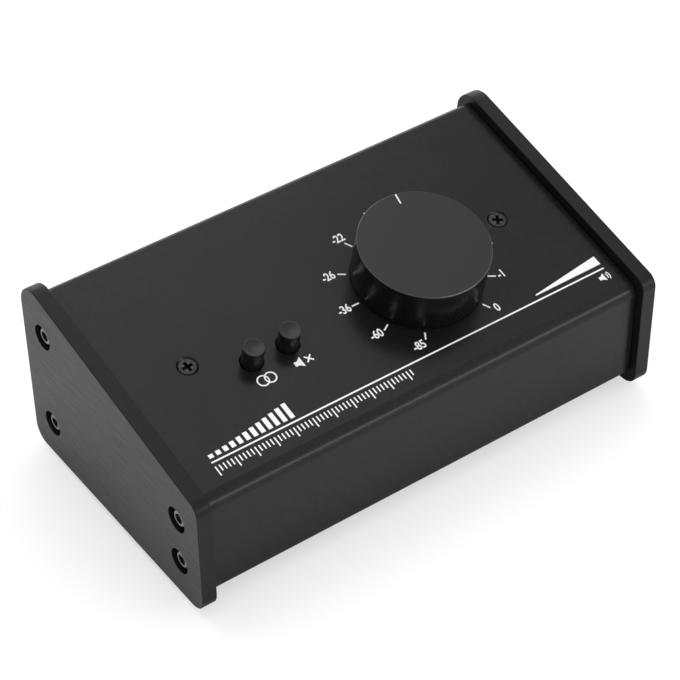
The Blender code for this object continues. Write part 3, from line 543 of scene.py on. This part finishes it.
def lathe(name, profile, steps):
    """A solid turned about Z from a profile in millimetres that ends on the axis or in itself."""
    working = bmesh.new()
    rings = []
    for radius, height in profile:
        if radius == 0:
            rings.append([working.verts.new((0, 0, height * MM))])
        else:
            rings.append([
                working.verts.new((
                    radius * MM * cos(2 * pi * i / steps), radius * MM * sin(2 * pi * i / steps),
                    height * MM,
                ))
                for i in range(steps)
            ])
    for above, below in zip(rings, rings[1:]):
        for i in range(steps):
            j = (i + 1) % steps
            if len(above) == 1:
                working.faces.new((above[0], below[i], below[j]))
            elif len(below) == 1:
                working.faces.new((above[i], below[0], above[j]))
            else:
                working.faces.new((above[i], below[i], below[j], above[j]))
    return to_mesh(name, working, angle=28)


def arc(cx, cz, radius, start, end, steps):
    """Profile points on an arc, angles in degrees from the +radius direction."""
    return [
        (cx + radius * cos(radians(start + (end - start) * i / steps)),
         cz + radius * sin(radians(start + (end - start) * i / steps)))
        for i in range(steps + 1)
    ]


def cut(thing, cutter, name, angle, crosses=False):
    """Cuts one shape from another as a smooth mesh; crosses is for a cutter that meets itself."""
    modifier = thing.modifiers.new("cut", "BOOLEAN")
    modifier.object = cutter
    modifier.solver = "EXACT"
    modifier.use_self = crosses
    bpy.context.view_layer.update()
    evaluated = thing.evaluated_get(bpy.context.evaluated_depsgraph_get())
    mesh = bpy.data.meshes.new_from_object(evaluated)
    bpy.data.objects.remove(thing)
    bpy.data.objects.remove(cutter)
    mesh.name = name
    mesh.shade_smooth()
    mesh.set_sharp_from_angle(angle=radians(angle))
    return mesh


def cross_cutter(name, span, width, depth):
    """A driver's cross: four wings that narrow with depth, and a cone in the middle."""
    rise, span_share, width_share, tip_radius, cone_share = 0.2, 0.62, 0.8, 0.02, 0.95
    working = bmesh.new()
    for turn in (0, pi / 2):
        made = bmesh.ops.create_cube(working, size=1)["verts"]
        for v in made:
            low = v.co.z < 0
            v.co.x *= span * MM * (span_share if low else 1)
            v.co.y *= width * MM * (width_share if low else 1)
            v.co.z = -depth * MM if low else rise * MM
        bmesh.ops.rotate(working, verts=made, matrix=Matrix.Rotation(turn, 3, "Z"))
    length = depth + 0.5
    centre = bmesh.ops.create_cone(
        working, cap_ends=True, segments=24, radius1=tip_radius * MM,
        radius2=width * cone_share * MM, depth=length * MM,
    )["verts"]
    bmesh.ops.translate(working, verts=centre, vec=mm(0, 0, rise - length / 2))
    return add_object(name, to_mesh(name, working, smooth=False), [])


def screw_head(name, profile, span, width, depth):
    """A turned screw with its cross recess."""
    blank = add_object(name + "_blank", lathe(name + "_blank", profile, 64), [])
    return cut(blank, cross_cutter(name + "_cross", span, width, depth), name, 30, crosses=True)


def make_case():
    """Shell, cheeks and base plate, each with the edge rounding of its own process."""
    dressed("top_shell", "case", [SHEET], 0.16)
    for side, sign in (("left", -1), ("right", 1)):
        cheek = dressed(side + "_cheek", "case", [PLATE, PLATE_PAINTED_SHADE], 0.10)
        # Every face but the outward one takes the darker copy: painted shade on the rims, holes
        # and inner face.
        for polygon in cheek.data.polygons:
            polygon.material_index = 0 if polygon.normal.x * sign > 0.9 else 1
    dressed("base_plate", "case", [SHEET], 0.15)


def takes_painted_highlight(polygon):
    """The pan head's outer dome and shoulder, without its recess and shank: the faces that take
    the painted highlight.
    """
    inner, recess_reach, shoulder_foot = 1.6 * MM, 1.7 * MM, -1.3 * MM
    reach = Vector(polygon.center[:2]).length
    flank = polygon.normal.z < 0.3 and reach < recess_reach
    return reach > inner and polygon.center.z > shoulder_foot and not flank


def sunk(polygon):
    """The flat head's recess."""
    recess_reach, below_face = 2.0 * MM, -0.08 * MM
    reach = Vector(polygon.center[:2]).length
    return reach < recess_reach and polygon.center.z < below_face


def two_tone(thing, chosen):
    """Gives a screw's second material to the polygons that a test picks."""
    for polygon in thing.data.polygons:
        polygon.material_index = 1 if chosen(polygon) else 0


def shank(neck, tip):
    """Profile points of a screw's shank, from under its head to its chamfered tip."""
    return [
        (SHANK_RADIUS, neck),
        (SHANK_RADIUS, tip + 0.4),
        (SHANK_TIP_RADIUS, tip),
        (0, tip),
    ]


def make_screws():
    """Pan heads in the cheeks and countersunk heads in the panel."""
    pan = screw_head("pan_head", [
        (0, 0.06),
        *arc(0, -9.4, 9.46, 90, 77.5, 6)[1:],
        *arc(2.05, -0.72, 0.68, 68, 0, 6),
        (2.74, -1.2),
        (2.68, -2.0),
        *shank(-2.0, -12.0),
    ], 3.3, 1.30, 1.35)
    for side, sign in (("left", -1), ("right", 1)):
        for degrees, (corner, (y, z)) in zip(CHEEK_SCREW_TURNS, CHEEK_SCREWS.items()):
            facing = Matrix.Rotation(sign * pi / 2, 4, "Y")
            spin = radians(degrees * sign + CHEEK_SCREW_EXTRA_TURN)
            turn = Matrix.Rotation(spin, 4, "Z")
            where = Matrix.Translation(mm(sign * (CHEEK_OUTER - CHEEK_SCREW_SINK), y, z))
            node = "cheek_screw_" + side + "_" + corner
            # The pan head's middle, recess and shank take the painted shade; its outer shoulder
            # takes the painted highlight.
            finishes = [RECESS_SHADE, OXIDE_HIGHLIGHT]
            screw = add_object(node + "_head", pan.copy(), finishes, where @ facing @ turn)
            two_tone(screw, takes_painted_highlight)
            place(screw, "case", (node,))
    flat = screw_head("flat_head", [
        (0, 0.0),
        (2.62, 0.0),
        *arc(2.62, -0.10, 0.10, 90, 0, 3)[1:],
        (2.72, -0.24),
        *shank(-1.62, -6.0),
    ], 3.6, 1.05, 1.3)
    for side, x in PANEL_SCREWS.items():
        turn = Matrix.Rotation(radians(PANEL_SCREW_TURNS[side]), 4, "Z")
        where = PANEL @ Matrix.Translation(mm(x, PANEL_SCREW_U, -PANEL_SCREW_SINK))
        node = "panel_screw_" + side
        # The recess takes the painted shade.
        screw = add_object(node + "_head", flat.copy(), [OXIDE, RECESS_SHADE], where @ turn)
        two_tone(screw, sunk)
        place(screw, "case", (node,))


def set_screw_drill(finishes, where):
    """The cutter for the hole of the set screw, which runs into the knob from its rear."""
    hole = bmesh.new()
    bmesh.ops.create_cone(
        hole, cap_ends=True, segments=40, radius1=SET_SCREW_RADIUS * MM,
        radius2=SET_SCREW_RADIUS * MM, depth=SET_SCREW_HOLE_LENGTH * MM,
    )
    bmesh.ops.rotate(hole, verts=hole.verts, matrix=Matrix.Rotation(pi / 2, 3, "X"))
    middle = mm(0, SET_SCREW_HOLE_MIDDLE, SET_SCREW_HEIGHT)
    bmesh.ops.translate(hole, verts=hole.verts, vec=middle)
    drill = add_object("drill", to_mesh("drill", hole, smooth=False), finishes, where)
    for polygon in drill.data.polygons:
        polygon.material_index = 1
    return drill


def make_knob():
    """The turned knob with its pointer, on the shaft's axis."""
    top, foot, radius, broken = KNOB_TOP, KNOB_FOOT, KNOB_RADIUS, KNOB_BREAK
    mesh = lathe("volume_knob_turned", [
        (0, top),
        (6.0, top),
        (13.0, top),
        (radius - broken, top),
        (radius, top - broken),
        (radius, top - 4.0),
        (radius, foot + 4.0),
        (radius, foot + 0.4),
        *arc(radius - broken, foot + broken, broken, 0, -90, 4)[1:],
        (KNOB_WELL_RADIUS, foot),
        (KNOB_WELL_RADIUS, KNOB_WELL_TOP),
        (SHAFT_BORE_RADIUS, KNOB_WELL_TOP),
        (SHAFT_BORE_RADIUS, SHAFT_BORE_TOP),
        (0, SHAFT_BORE_TOP),
    ], 256)
    where = PANEL @ Matrix.Translation(mm(*KNOB, 0)) @ Matrix.Rotation(-POINTER_TURN, 4, "Z")
    finishes = [KNOB_FACE, KNOB_SIDE, KNOB_EDGE]
    blank = add_object("volume_knob_blank", mesh, finishes, where)
    for polygon in mesh.polygons:
        high = polygon.center.z > (top - 0.2) * MM
        polygon.material_index = 1 if not high else 0 if polygon.normal.z > 0.9 else 2
    bored = cut(blank, set_screw_drill(finishes, where), "volume_knob_turned", 28)
    indices = [polygon.material_index for polygon in bored.polygons]
    bored.transform(where)
    knob = add_object("volume_knob_turned", bored, finishes)
    for polygon, index in zip(bored.polygons, indices):
        polygon.material_index = index
    place(knob, "knob", ("volume_knob",))
    strip = bar(-POINTER_HALF_WIDTH, POINTER_HALF_WIDTH, *POINTER_ENDS)
    pointer = outline_mesh("pointer_line", [strip], POINTER_THICKNESS)
    lift = Matrix.Translation(mm(0, 0, top - 0.02))
    place(add_object("pointer_line", pointer, [INK], where @ lift), "knob")
    finish_node("attenuator_shaft", NICKEL)
    finish_node("knob_set_screw", OXIDE)


def make_buttons():
    """Round caps with a dished top; the dark wells show round them."""
    rim, steps = BUTTON_RADIUS - BUTTON_LIP, 8
    mesh = lathe("button_cap", [
        (0, BUTTON_TOP - BUTTON_DISH),
        *[
            (rim * i / steps, BUTTON_TOP - BUTTON_DISH * (1 - (i / steps) ** 2))
            for i in range(1, steps)
        ],
        *arc(rim, BUTTON_TOP - BUTTON_LIP, BUTTON_LIP, 90, 0, 6),
        (BUTTON_RADIUS, 0.0),
        (BUTTON_RADIUS, BUTTON_FLANGE_TOP),
        (BUTTON_FLANGE_RADIUS, BUTTON_FLANGE_TOP),
        (BUTTON_FLANGE_RADIUS, BUTTON_FOOT),
        (PLUNGER_BORE_RADIUS, BUTTON_FOOT),
        (PLUNGER_BORE_RADIUS, PLUNGER_BORE_TOP),
        (0, PLUNGER_BORE_TOP),
    ], 96)
    for name, x in BUTTONS.items():
        where = PANEL @ Matrix.Translation(mm(x, BUTTON_U, 0))
        cap = add_object(name + "_cap", mesh.copy(), [CAP], where)
        place(cap, name + "_button_assembly", (name + "_button",))
        finish_node(name + "_plunger", WHITE)
        finish_node(name + "_switch", MOULDED)


def make_rear():
    """Jacks with their nuts, sleeves, contact springs and printed marks."""
    for name, x in JACKS.items():
        dressed("jack_" + name, "case", [MOULDED], 0.12)
        dressed("jack_nut_" + name, "case", [NICKEL], 0.10)
        facing = Matrix.Translation(mm(x, REAR_Y, JACK_Z)) @ Matrix.Rotation(-pi / 2, 4, "X")
        sleeve = lathe("jack_sleeve_" + name, [
            (3.19, 2.15), (3.19, -8.0), (3.02, -8.0), (3.02, 2.0), (3.10, 2.15), (3.19, 2.15),
        ], 64)
        thing = add_object("jack_sleeve_" + name, sleeve, [NICKEL], facing)
        place(thing, "case")
        spring = spring_mesh("jack_spring_" + name)
        place(add_object("jack_spring_" + name, spring, [NICKEL], facing), "case")
        ring = ring_shape(0, 0, *JACK_RING, 0, 360, 72)
        arrow = arrow_shape(0, JACK_ARROW_U, JACK_ARROW_SIZE, "in" in name)
        printed = outline_mesh("jack_mark_" + name, [ring, arrow], PRINT_THICKNESS)
        above = (
            Matrix.Translation(mm(x, REAR_Y + PRINT_LIFT, JACK_Z))
            @ Matrix.Rotation(pi / 2, 4, "X") @ Matrix.Rotation(pi, 4, "Y")
        )
        place(add_object("jack_mark_" + name, printed, [INK], above), "case")


def spring_mesh(name):
    """The tip contact: a bowed strip that shows deep in the bore."""
    working = bmesh.new()
    start, length, half_width, thickness, steps = -10.0, 10.0, 0.8, 0.15, 16
    rows = []
    for i in range(steps + 1):
        share = i / steps
        bow = 3.0 - 1.35 * sin(pi * share) ** 2
        rows.append([
            working.verts.new(mm(side * half_width, bow + lift, start - length * share))
            for side, lift in ((-1, 0), (1, 0), (1, thickness), (-1, thickness))
        ])
    for here, there in zip(rows, rows[1:]):
        for i in range(4):
            j = (i + 1) % 4
            working.faces.new((here[i], here[j], there[j], there[i]))
    working.faces.new(rows[0])
    working.faces.new(list(reversed(rows[-1])))
    return to_mesh(name, working)


def make_insides():
    """What the closed case holds."""
    for node in ("control_board", "jack_board"):
        finish_node(node, BOARD)
    for node in ("control_header", "jack_header"):
        finish_node(node, MOULDED)
    finish_node("ribbon_cable", WIRES)
    finish_node("attenuator_housing", ZINC)
    for node in ("attenuator_bushing", "attenuator_washer", "attenuator_nut"):
        finish_node(node, NICKEL)
    for side in ("left", "right"):
        finish_node("board_standoff_" + side, NICKEL)
        finish_node("board_screw_" + side, NICKEL)


def make_feet():
    """Moulded feet: the underside is dished with a raised rim."""
    for end in ("front", "rear"):
        for side in ("left", "right"):
            node = "foot_" + end + "_" + side
            low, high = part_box(node)
            centre = (low + high) / 2
            top = high.z / MM
            mesh = lathe(node + "_moulded", [
                (0, top),
                (5.85, top),
                *arc(5.85, top - 0.15, 0.15, 90, 0, 3)[1:],
                *arc(5.25, 0.75, 0.75, 0, -90, 8),
                (4.3, 0.0),
                *arc(4.0, 0.25, 0.25, -60, -100, 3),
                (2.4, 0.5),
                (1.4, 0.5),
                *arc(1.2, 0.75, 0.25, -60, -100, 3),
                (1.0, 0.9),
                (0, 0.9),
            ], 72)
            where = Matrix.Translation((centre.x, centre.y, 0))
            foot = add_object(node + "_moulded", mesh, [RUBBER], where)
            place(foot, "case", (node,))


# Printed marks

def outline_mesh(name, shapes, thickness):
    """Flat shapes with a thickness, each given as a list of convex polygons."""
    working = bmesh.new()
    for polygons in shapes:
        for polygon in polygons:
            low = [working.verts.new(mm(x, y, 0)) for x, y in polygon]
            high = [working.verts.new(mm(x, y, thickness)) for x, y in polygon]
            working.faces.new(high)
            working.faces.new(list(reversed(low)))
            for i in range(len(polygon)):
                j = (i + 1) % len(polygon)
                working.faces.new((low[i], low[j], high[j], high[i]))
    bmesh.ops.remove_doubles(working, verts=working.verts, dist=PRINT_MERGE * MM)
    inner = [e for e in working.edges if len(e.link_faces) > 2]
    walls = [f for e in inner for f in e.link_faces if abs(f.normal.z) < 0.5]
    bmesh.ops.delete(working, geom=list(set(walls)), context="FACES_ONLY")
    return to_mesh(name, working, smooth=False)


def bar(x0, x1, u0, u1):
    return [[(x0, u0), (x1, u0), (x1, u1), (x0, u1)]]


def slanted_bar(x, u, length, width, angle):
    """A bar about a centre, turned by an angle in degrees."""
    c, s = cos(radians(angle)), sin(radians(angle))
    corners = [(-1, -1), (1, -1), (1, 1), (-1, 1)]
    return [[
        (x + (a * length * c - b * width * s) / 2, u + (a * length * s + b * width * c) / 2)
        for a, b in corners
    ]]


def ring_shape(x, u, inner, outer, start, end, steps):
    """A ring or part of one, angles in degrees anticlockwise from +x."""
    quads = []
    for i in range(steps):
        a = radians(start + (end - start) * i / steps)
        b = radians(start + (end - start) * (i + 1) / steps)
        quads.append([
            (x + inner * cos(a), u + inner * sin(a)), (x + outer * cos(a), u + outer * sin(a)),
            (x + outer * cos(b), u + outer * sin(b)), (x + inner * cos(b), u + inner * sin(b)),
        ])
    return quads


def arrow_shape(x, u, size, inwards):
    """A plain triangle that points at a jack or away from it."""
    tip = -size / 2 if inwards else size / 2
    return [[(x - size / 2, u - tip), (x + size / 2, u - tip), (x, u + tip)]]


def loudspeaker(x, u, size):
    """A plain loudspeaker sign: a magnet and a cone."""
    back, neck, mouth = x - 0.50 * size, x - 0.18 * size, x + 0.20 * size
    tall = size / 2
    short = 0.42 * tall
    return [
        [(back, u - short), (neck, u - short), (neck, u + short), (back, u + short)],
        [(neck, u - short), (mouth, u - tall), (mouth, u + tall), (neck, u + short)],
    ]


def number_mesh(name, body, x, u):
    """A number as a mesh in the panel's plane, centred on a point."""
    curve = bpy.data.curves.new(name, "FONT")
    curve.body = body
    curve.size = NUMBER_SIZE * MM
    curve.extrude = PRINT_THICKNESS / 2 * MM
    curve.offset = NUMBER_WEIGHT * MM
    curve.align_x = "CENTER"
    curve.align_y = "CENTER"
    curve.resolution_u = 6
    thing = bpy.data.objects.new(name, curve)
    scene.collection.objects.link(thing)
    bpy.context.view_layer.update()
    evaluated = thing.evaluated_get(bpy.context.evaluated_depsgraph_get())
    mesh = bpy.data.meshes.new_from_object(evaluated)
    bpy.data.objects.remove(thing)
    spread = Matrix.Diagonal((NUMBER_SQUEEZE, 1, 1, 1))
    lift = Matrix.Translation(mm(x, u, PRINT_THICKNESS / 2))
    mesh.transform(lift @ spread)
    mesh.name = name
    return mesh


def on_panel(name, mesh):
    """A printed mark on the panel's face."""
    where = PANEL @ Matrix.Translation(mm(0, 0, PRINT_LIFT))
    place(add_object(name, mesh, [INK], where), "case")


def print_dial():
    """Ticks every thirty degrees with their plain numbers, upright along the panel."""
    numbers = {
        -150: ("-85", -14.8, -21.4), -120: ("-60", -23.3, -12.0), -90: ("-36", -26.3, 0.0),
        -60: ("-26", -23.4, 12.3), -30: ("-22", -12.7, 22.7), 0: ("-18", 0.4, 25.6),
        30: ("-14", 13.3, 22.7), 60: ("-8", 23.0, 12.3), 90: ("-4", 26.3, 0.0),
        120: ("-1", 22.4, -11.9), 150: ("0", 13.7, -21.4),
    }
    ticks = []
    for angle, (body, across, upward) in numbers.items():
        bearing = 90 - angle
        x = KNOB[0] + TICK_MIDDLE * cos(radians(bearing))
        u = KNOB[1] + TICK_MIDDLE * sin(radians(bearing))
        ticks.append(slanted_bar(x, u, TICK_LENGTH, TICK_WIDTH, bearing))
        name = "dial_number_" + str(angle % 360)
        on_panel(name, number_mesh(name, body, KNOB[0] + across, KNOB[1] + upward))
    on_panel("dial_ticks", outline_mesh("dial_ticks", ticks, PRINT_THICKNESS))


def print_panel():
    """The long rule, a row of rising level bars, a fine scale and a swelling wedge."""
    rule_left, rule_right, rule_low, rule_high = -67.8, 72.3, -33.15, -32.65
    rule = [bar(rule_left, rule_right, rule_low, rule_high)]
    on_panel("panel_rule", outline_mesh("panel_rule", rule, PRINT_THICKNESS))

    count, first, pitch, width, low = 12, -67.4, 2.45, 1.45, -31.6
    bars = []
    for i in range(count):
        x = first + pitch * i
        height = 1.3 + 4.2 * (i / (count - 1)) ** 1.3
        bars.append(bar(x, x + width, low, low + height))
    on_panel("level_bars", outline_mesh("level_bars", bars, PRINT_THICKNESS))

    count, pitch, width, high, short, long = 52, 1.3, 0.42, -34.4, 2.1, 3.3
    scale = []
    for i in range(count):
        x = rule_left + pitch * i
        length = long if i % 5 == 0 else short
        scale.append(bar(x, x + width, high - length, high))
    on_panel("fine_scale", outline_mesh("fine_scale", scale, PRINT_THICKNESS))

    wedge = [[[(47.7, -31.2), (72.4, -31.2), (72.4, -27.9), (47.7, -30.8)]]]
    on_panel("level_wedge", outline_mesh("level_wedge", wedge, PRINT_THICKNESS))

    u = -35.7
    sign = [loudspeaker(69.9, u, 2.9)]
    sign += [ring_shape(70.2, u, inner, inner + 0.34, -42, 42, 10) for inner in (1.1, 1.85)]
    on_panel("loudspeaker_sign", outline_mesh("loudspeaker_sign", sign, PRINT_THICKNESS))


def print_button_signs():
    """Two overlapping rings under one button, a crossed loudspeaker under the other."""
    x, u = -38.6, -16.85
    for side, shift, lift in (("left", -1.25, 0.0), ("right", 1.25, CROSSING_LIFT)):
        name = "joined_ring_" + side
        ring = ring_shape(x + shift, u, 1.50, 1.95, 0, 360, 48)
        on_panel(name, outline_mesh(name, [ring], PRINT_THICKNESS + lift))
    x, u = -26.0, -16.75
    sign = [loudspeaker(x - 1.1, u, 3.7)]
    on_panel("crossed_sign", outline_mesh("crossed_sign", sign, PRINT_THICKNESS))
    for name, angle, lift in (("cross_rising", 45, 0.0), ("cross_falling", -45, CROSSING_LIFT)):
        stroke = slanted_bar(x + 1.9, u, 3.0, 0.5, angle)
        on_panel(name, outline_mesh(name, [stroke], PRINT_THICKNESS + lift))


# Studio

def maths(tree, operation, first, second):
    """A math node on two outputs or numbers."""
    step = tree.nodes.new("ShaderNodeMath")
    step.operation = operation
    for socket, value in zip(step.inputs, (first, second)):
        if isinstance(value, float):
            socket.default_value = value
        else:
            tree.links.new(value, socket)
    return step.outputs[0]


def make_floor():
    """A pale floor that keeps the shadow and reads as white where nothing shades it; in
    reflections its glow fades out round the part, a painted shadow.
    """
    working = bmesh.new()
    bmesh.ops.create_grid(working, x_segments=8, y_segments=8, size=3.0)
    floor = add_object("studio_floor", to_mesh("studio_floor", working, smooth=False), [])
    material = bpy.data.materials.new("studio_floor")
    material.use_nodes = True
    tree = material.node_tree
    shader = tree.nodes["Principled BSDF"]
    shader.inputs["Base Color"].default_value = (0.62, 0.62, 0.62, 1)
    shader.inputs["Roughness"].default_value = 0.9
    shader.inputs["Specular IOR Level"].default_value = 0.1
    shader.inputs["Emission Color"].default_value = (1, 1, 1, 1)
    rays = tree.nodes.new("ShaderNodeLightPath")
    spot = tree.nodes.new("ShaderNodeSeparateXYZ")
    tree.links.new(tree.nodes.new("ShaderNodeNewGeometry").outputs["Position"], spot.inputs[0])
    aside = [
        maths(tree, "SUBTRACT", maths(tree, "ABSOLUTE", spot.outputs[axis], 0.0), half * MM)
        for axis, half in ((0, CHEEK_OUTER), (1, CHEEK_HALF_DEPTH))
    ]
    beyond_painted_shadow = tree.nodes.new("ShaderNodeMapRange")
    beyond_painted_shadow.inputs["From Min"].default_value = FLOOR_PAINTED_SHADOW_EDGE[0] * MM
    beyond_painted_shadow.inputs["From Max"].default_value = FLOOR_PAINTED_SHADOW_EDGE[1] * MM
    tree.links.new(maths(tree, "MAXIMUM", *aside), beyond_painted_shadow.inputs["Value"])
    # Glossy rays see the glow only away from the part, which paints a shadow round it in
    # reflections.
    glossy = rays.outputs["Is Glossy Ray"]
    mirrored = maths(tree, "MULTIPLY", glossy, beyond_painted_shadow.outputs["Result"])
    seen = maths(tree, "MAXIMUM", rays.outputs["Is Camera Ray"], mirrored)
    glow = maths(tree, "MULTIPLY", seen, FLOOR_GLOW)
    tree.links.new(glow, shader.inputs["Emission Strength"])
    floor.data.materials.append(material)


def make_world():
    """A plain white room: white to the camera and in reflections, softer as a light."""
    world = bpy.data.worlds.new("studio")
    scene.world = world
    world.use_nodes = True
    tree = world.node_tree
    background = tree.nodes["Background"]
    background.inputs["Color"].default_value = (1, 1, 1, 1)
    rays = tree.nodes.new("ShaderNodeLightPath").outputs
    seen = maths(tree, "MAXIMUM", rays["Is Camera Ray"], rays["Is Glossy Ray"])
    seen = maths(tree, "MAXIMUM", seen, rays["Is Transmission Ray"])
    level = tree.nodes.new("ShaderNodeMapRange")
    level.inputs["To Min"].default_value = ROOM_LIGHT
    level.inputs["To Max"].default_value = 1.0
    tree.links.new(seen, level.inputs["Value"])
    tree.links.new(level.outputs["Result"], background.inputs["Strength"])


def soft_light(name, direction, width, height, power):
    """A soft box that faces the part."""
    lamp = bpy.data.lights.new(name, "AREA")
    lamp.shape = "RECTANGLE"
    lamp.size = width
    lamp.size_y = height
    lamp.energy = power
    thing = bpy.data.objects.new(name, lamp)
    scene.collection.objects.link(thing)
    aim = Vector(direction).normalized()
    thing.location = mm(0, 0, 30) + aim * LIGHT_DISTANCE
    thing.rotation_mode = "QUATERNION"
    thing.rotation_quaternion = (-aim).to_track_quat("-Z", "Y")


def make_camera():
    """The photograph's viewpoint."""
    azimuth, elevation = radians(CAMERA_AZIMUTH), radians(CAMERA_ELEVATION)
    roll = radians(CAMERA_ROLL)
    width = 2 * CHEEK_OUTER * MM
    back = Vector((
        sin(azimuth) * cos(elevation), -cos(azimuth) * cos(elevation), sin(elevation)
    ))
    flat_right = Vector((cos(azimuth), sin(azimuth), 0))
    flat_up = back.cross(flat_right)
    right = flat_right * cos(roll) + flat_up * sin(roll)
    up = flat_up * cos(roll) - flat_right * sin(roll)
    away = back * CAMERA_DISTANCE + right * CAMERA_ACROSS + up * CAMERA_UPWARD
    data = bpy.data.cameras.new("camera")
    data.sensor_width = SENSOR_WIDTH
    data.lens = FOCAL_PIXELS * SENSOR_WIDTH / IMAGE_PIXELS
    data.clip_start = 0.05
    data.clip_end = 20
    camera = bpy.data.objects.new("camera", data)
    scene.collection.objects.link(camera)
    eye = mm(0, 0, RIDE_HEIGHT) + away * width
    turn = Matrix((right, up, back)).transposed()
    camera.matrix_world = Matrix.Translation(eye) @ turn.to_4x4()
    scene.camera = camera


make_case()
make_screws()
make_knob()
make_buttons()
make_rear()
make_insides()
make_feet()
print_dial()
print_panel()
print_button_signs()
make_floor()
make_world()
for name, (direction, width, height, power) in LIGHTS.items():
    soft_light(name, direction, width, height, power)
make_camera()
scene.view_settings.view_transform = "Standard"
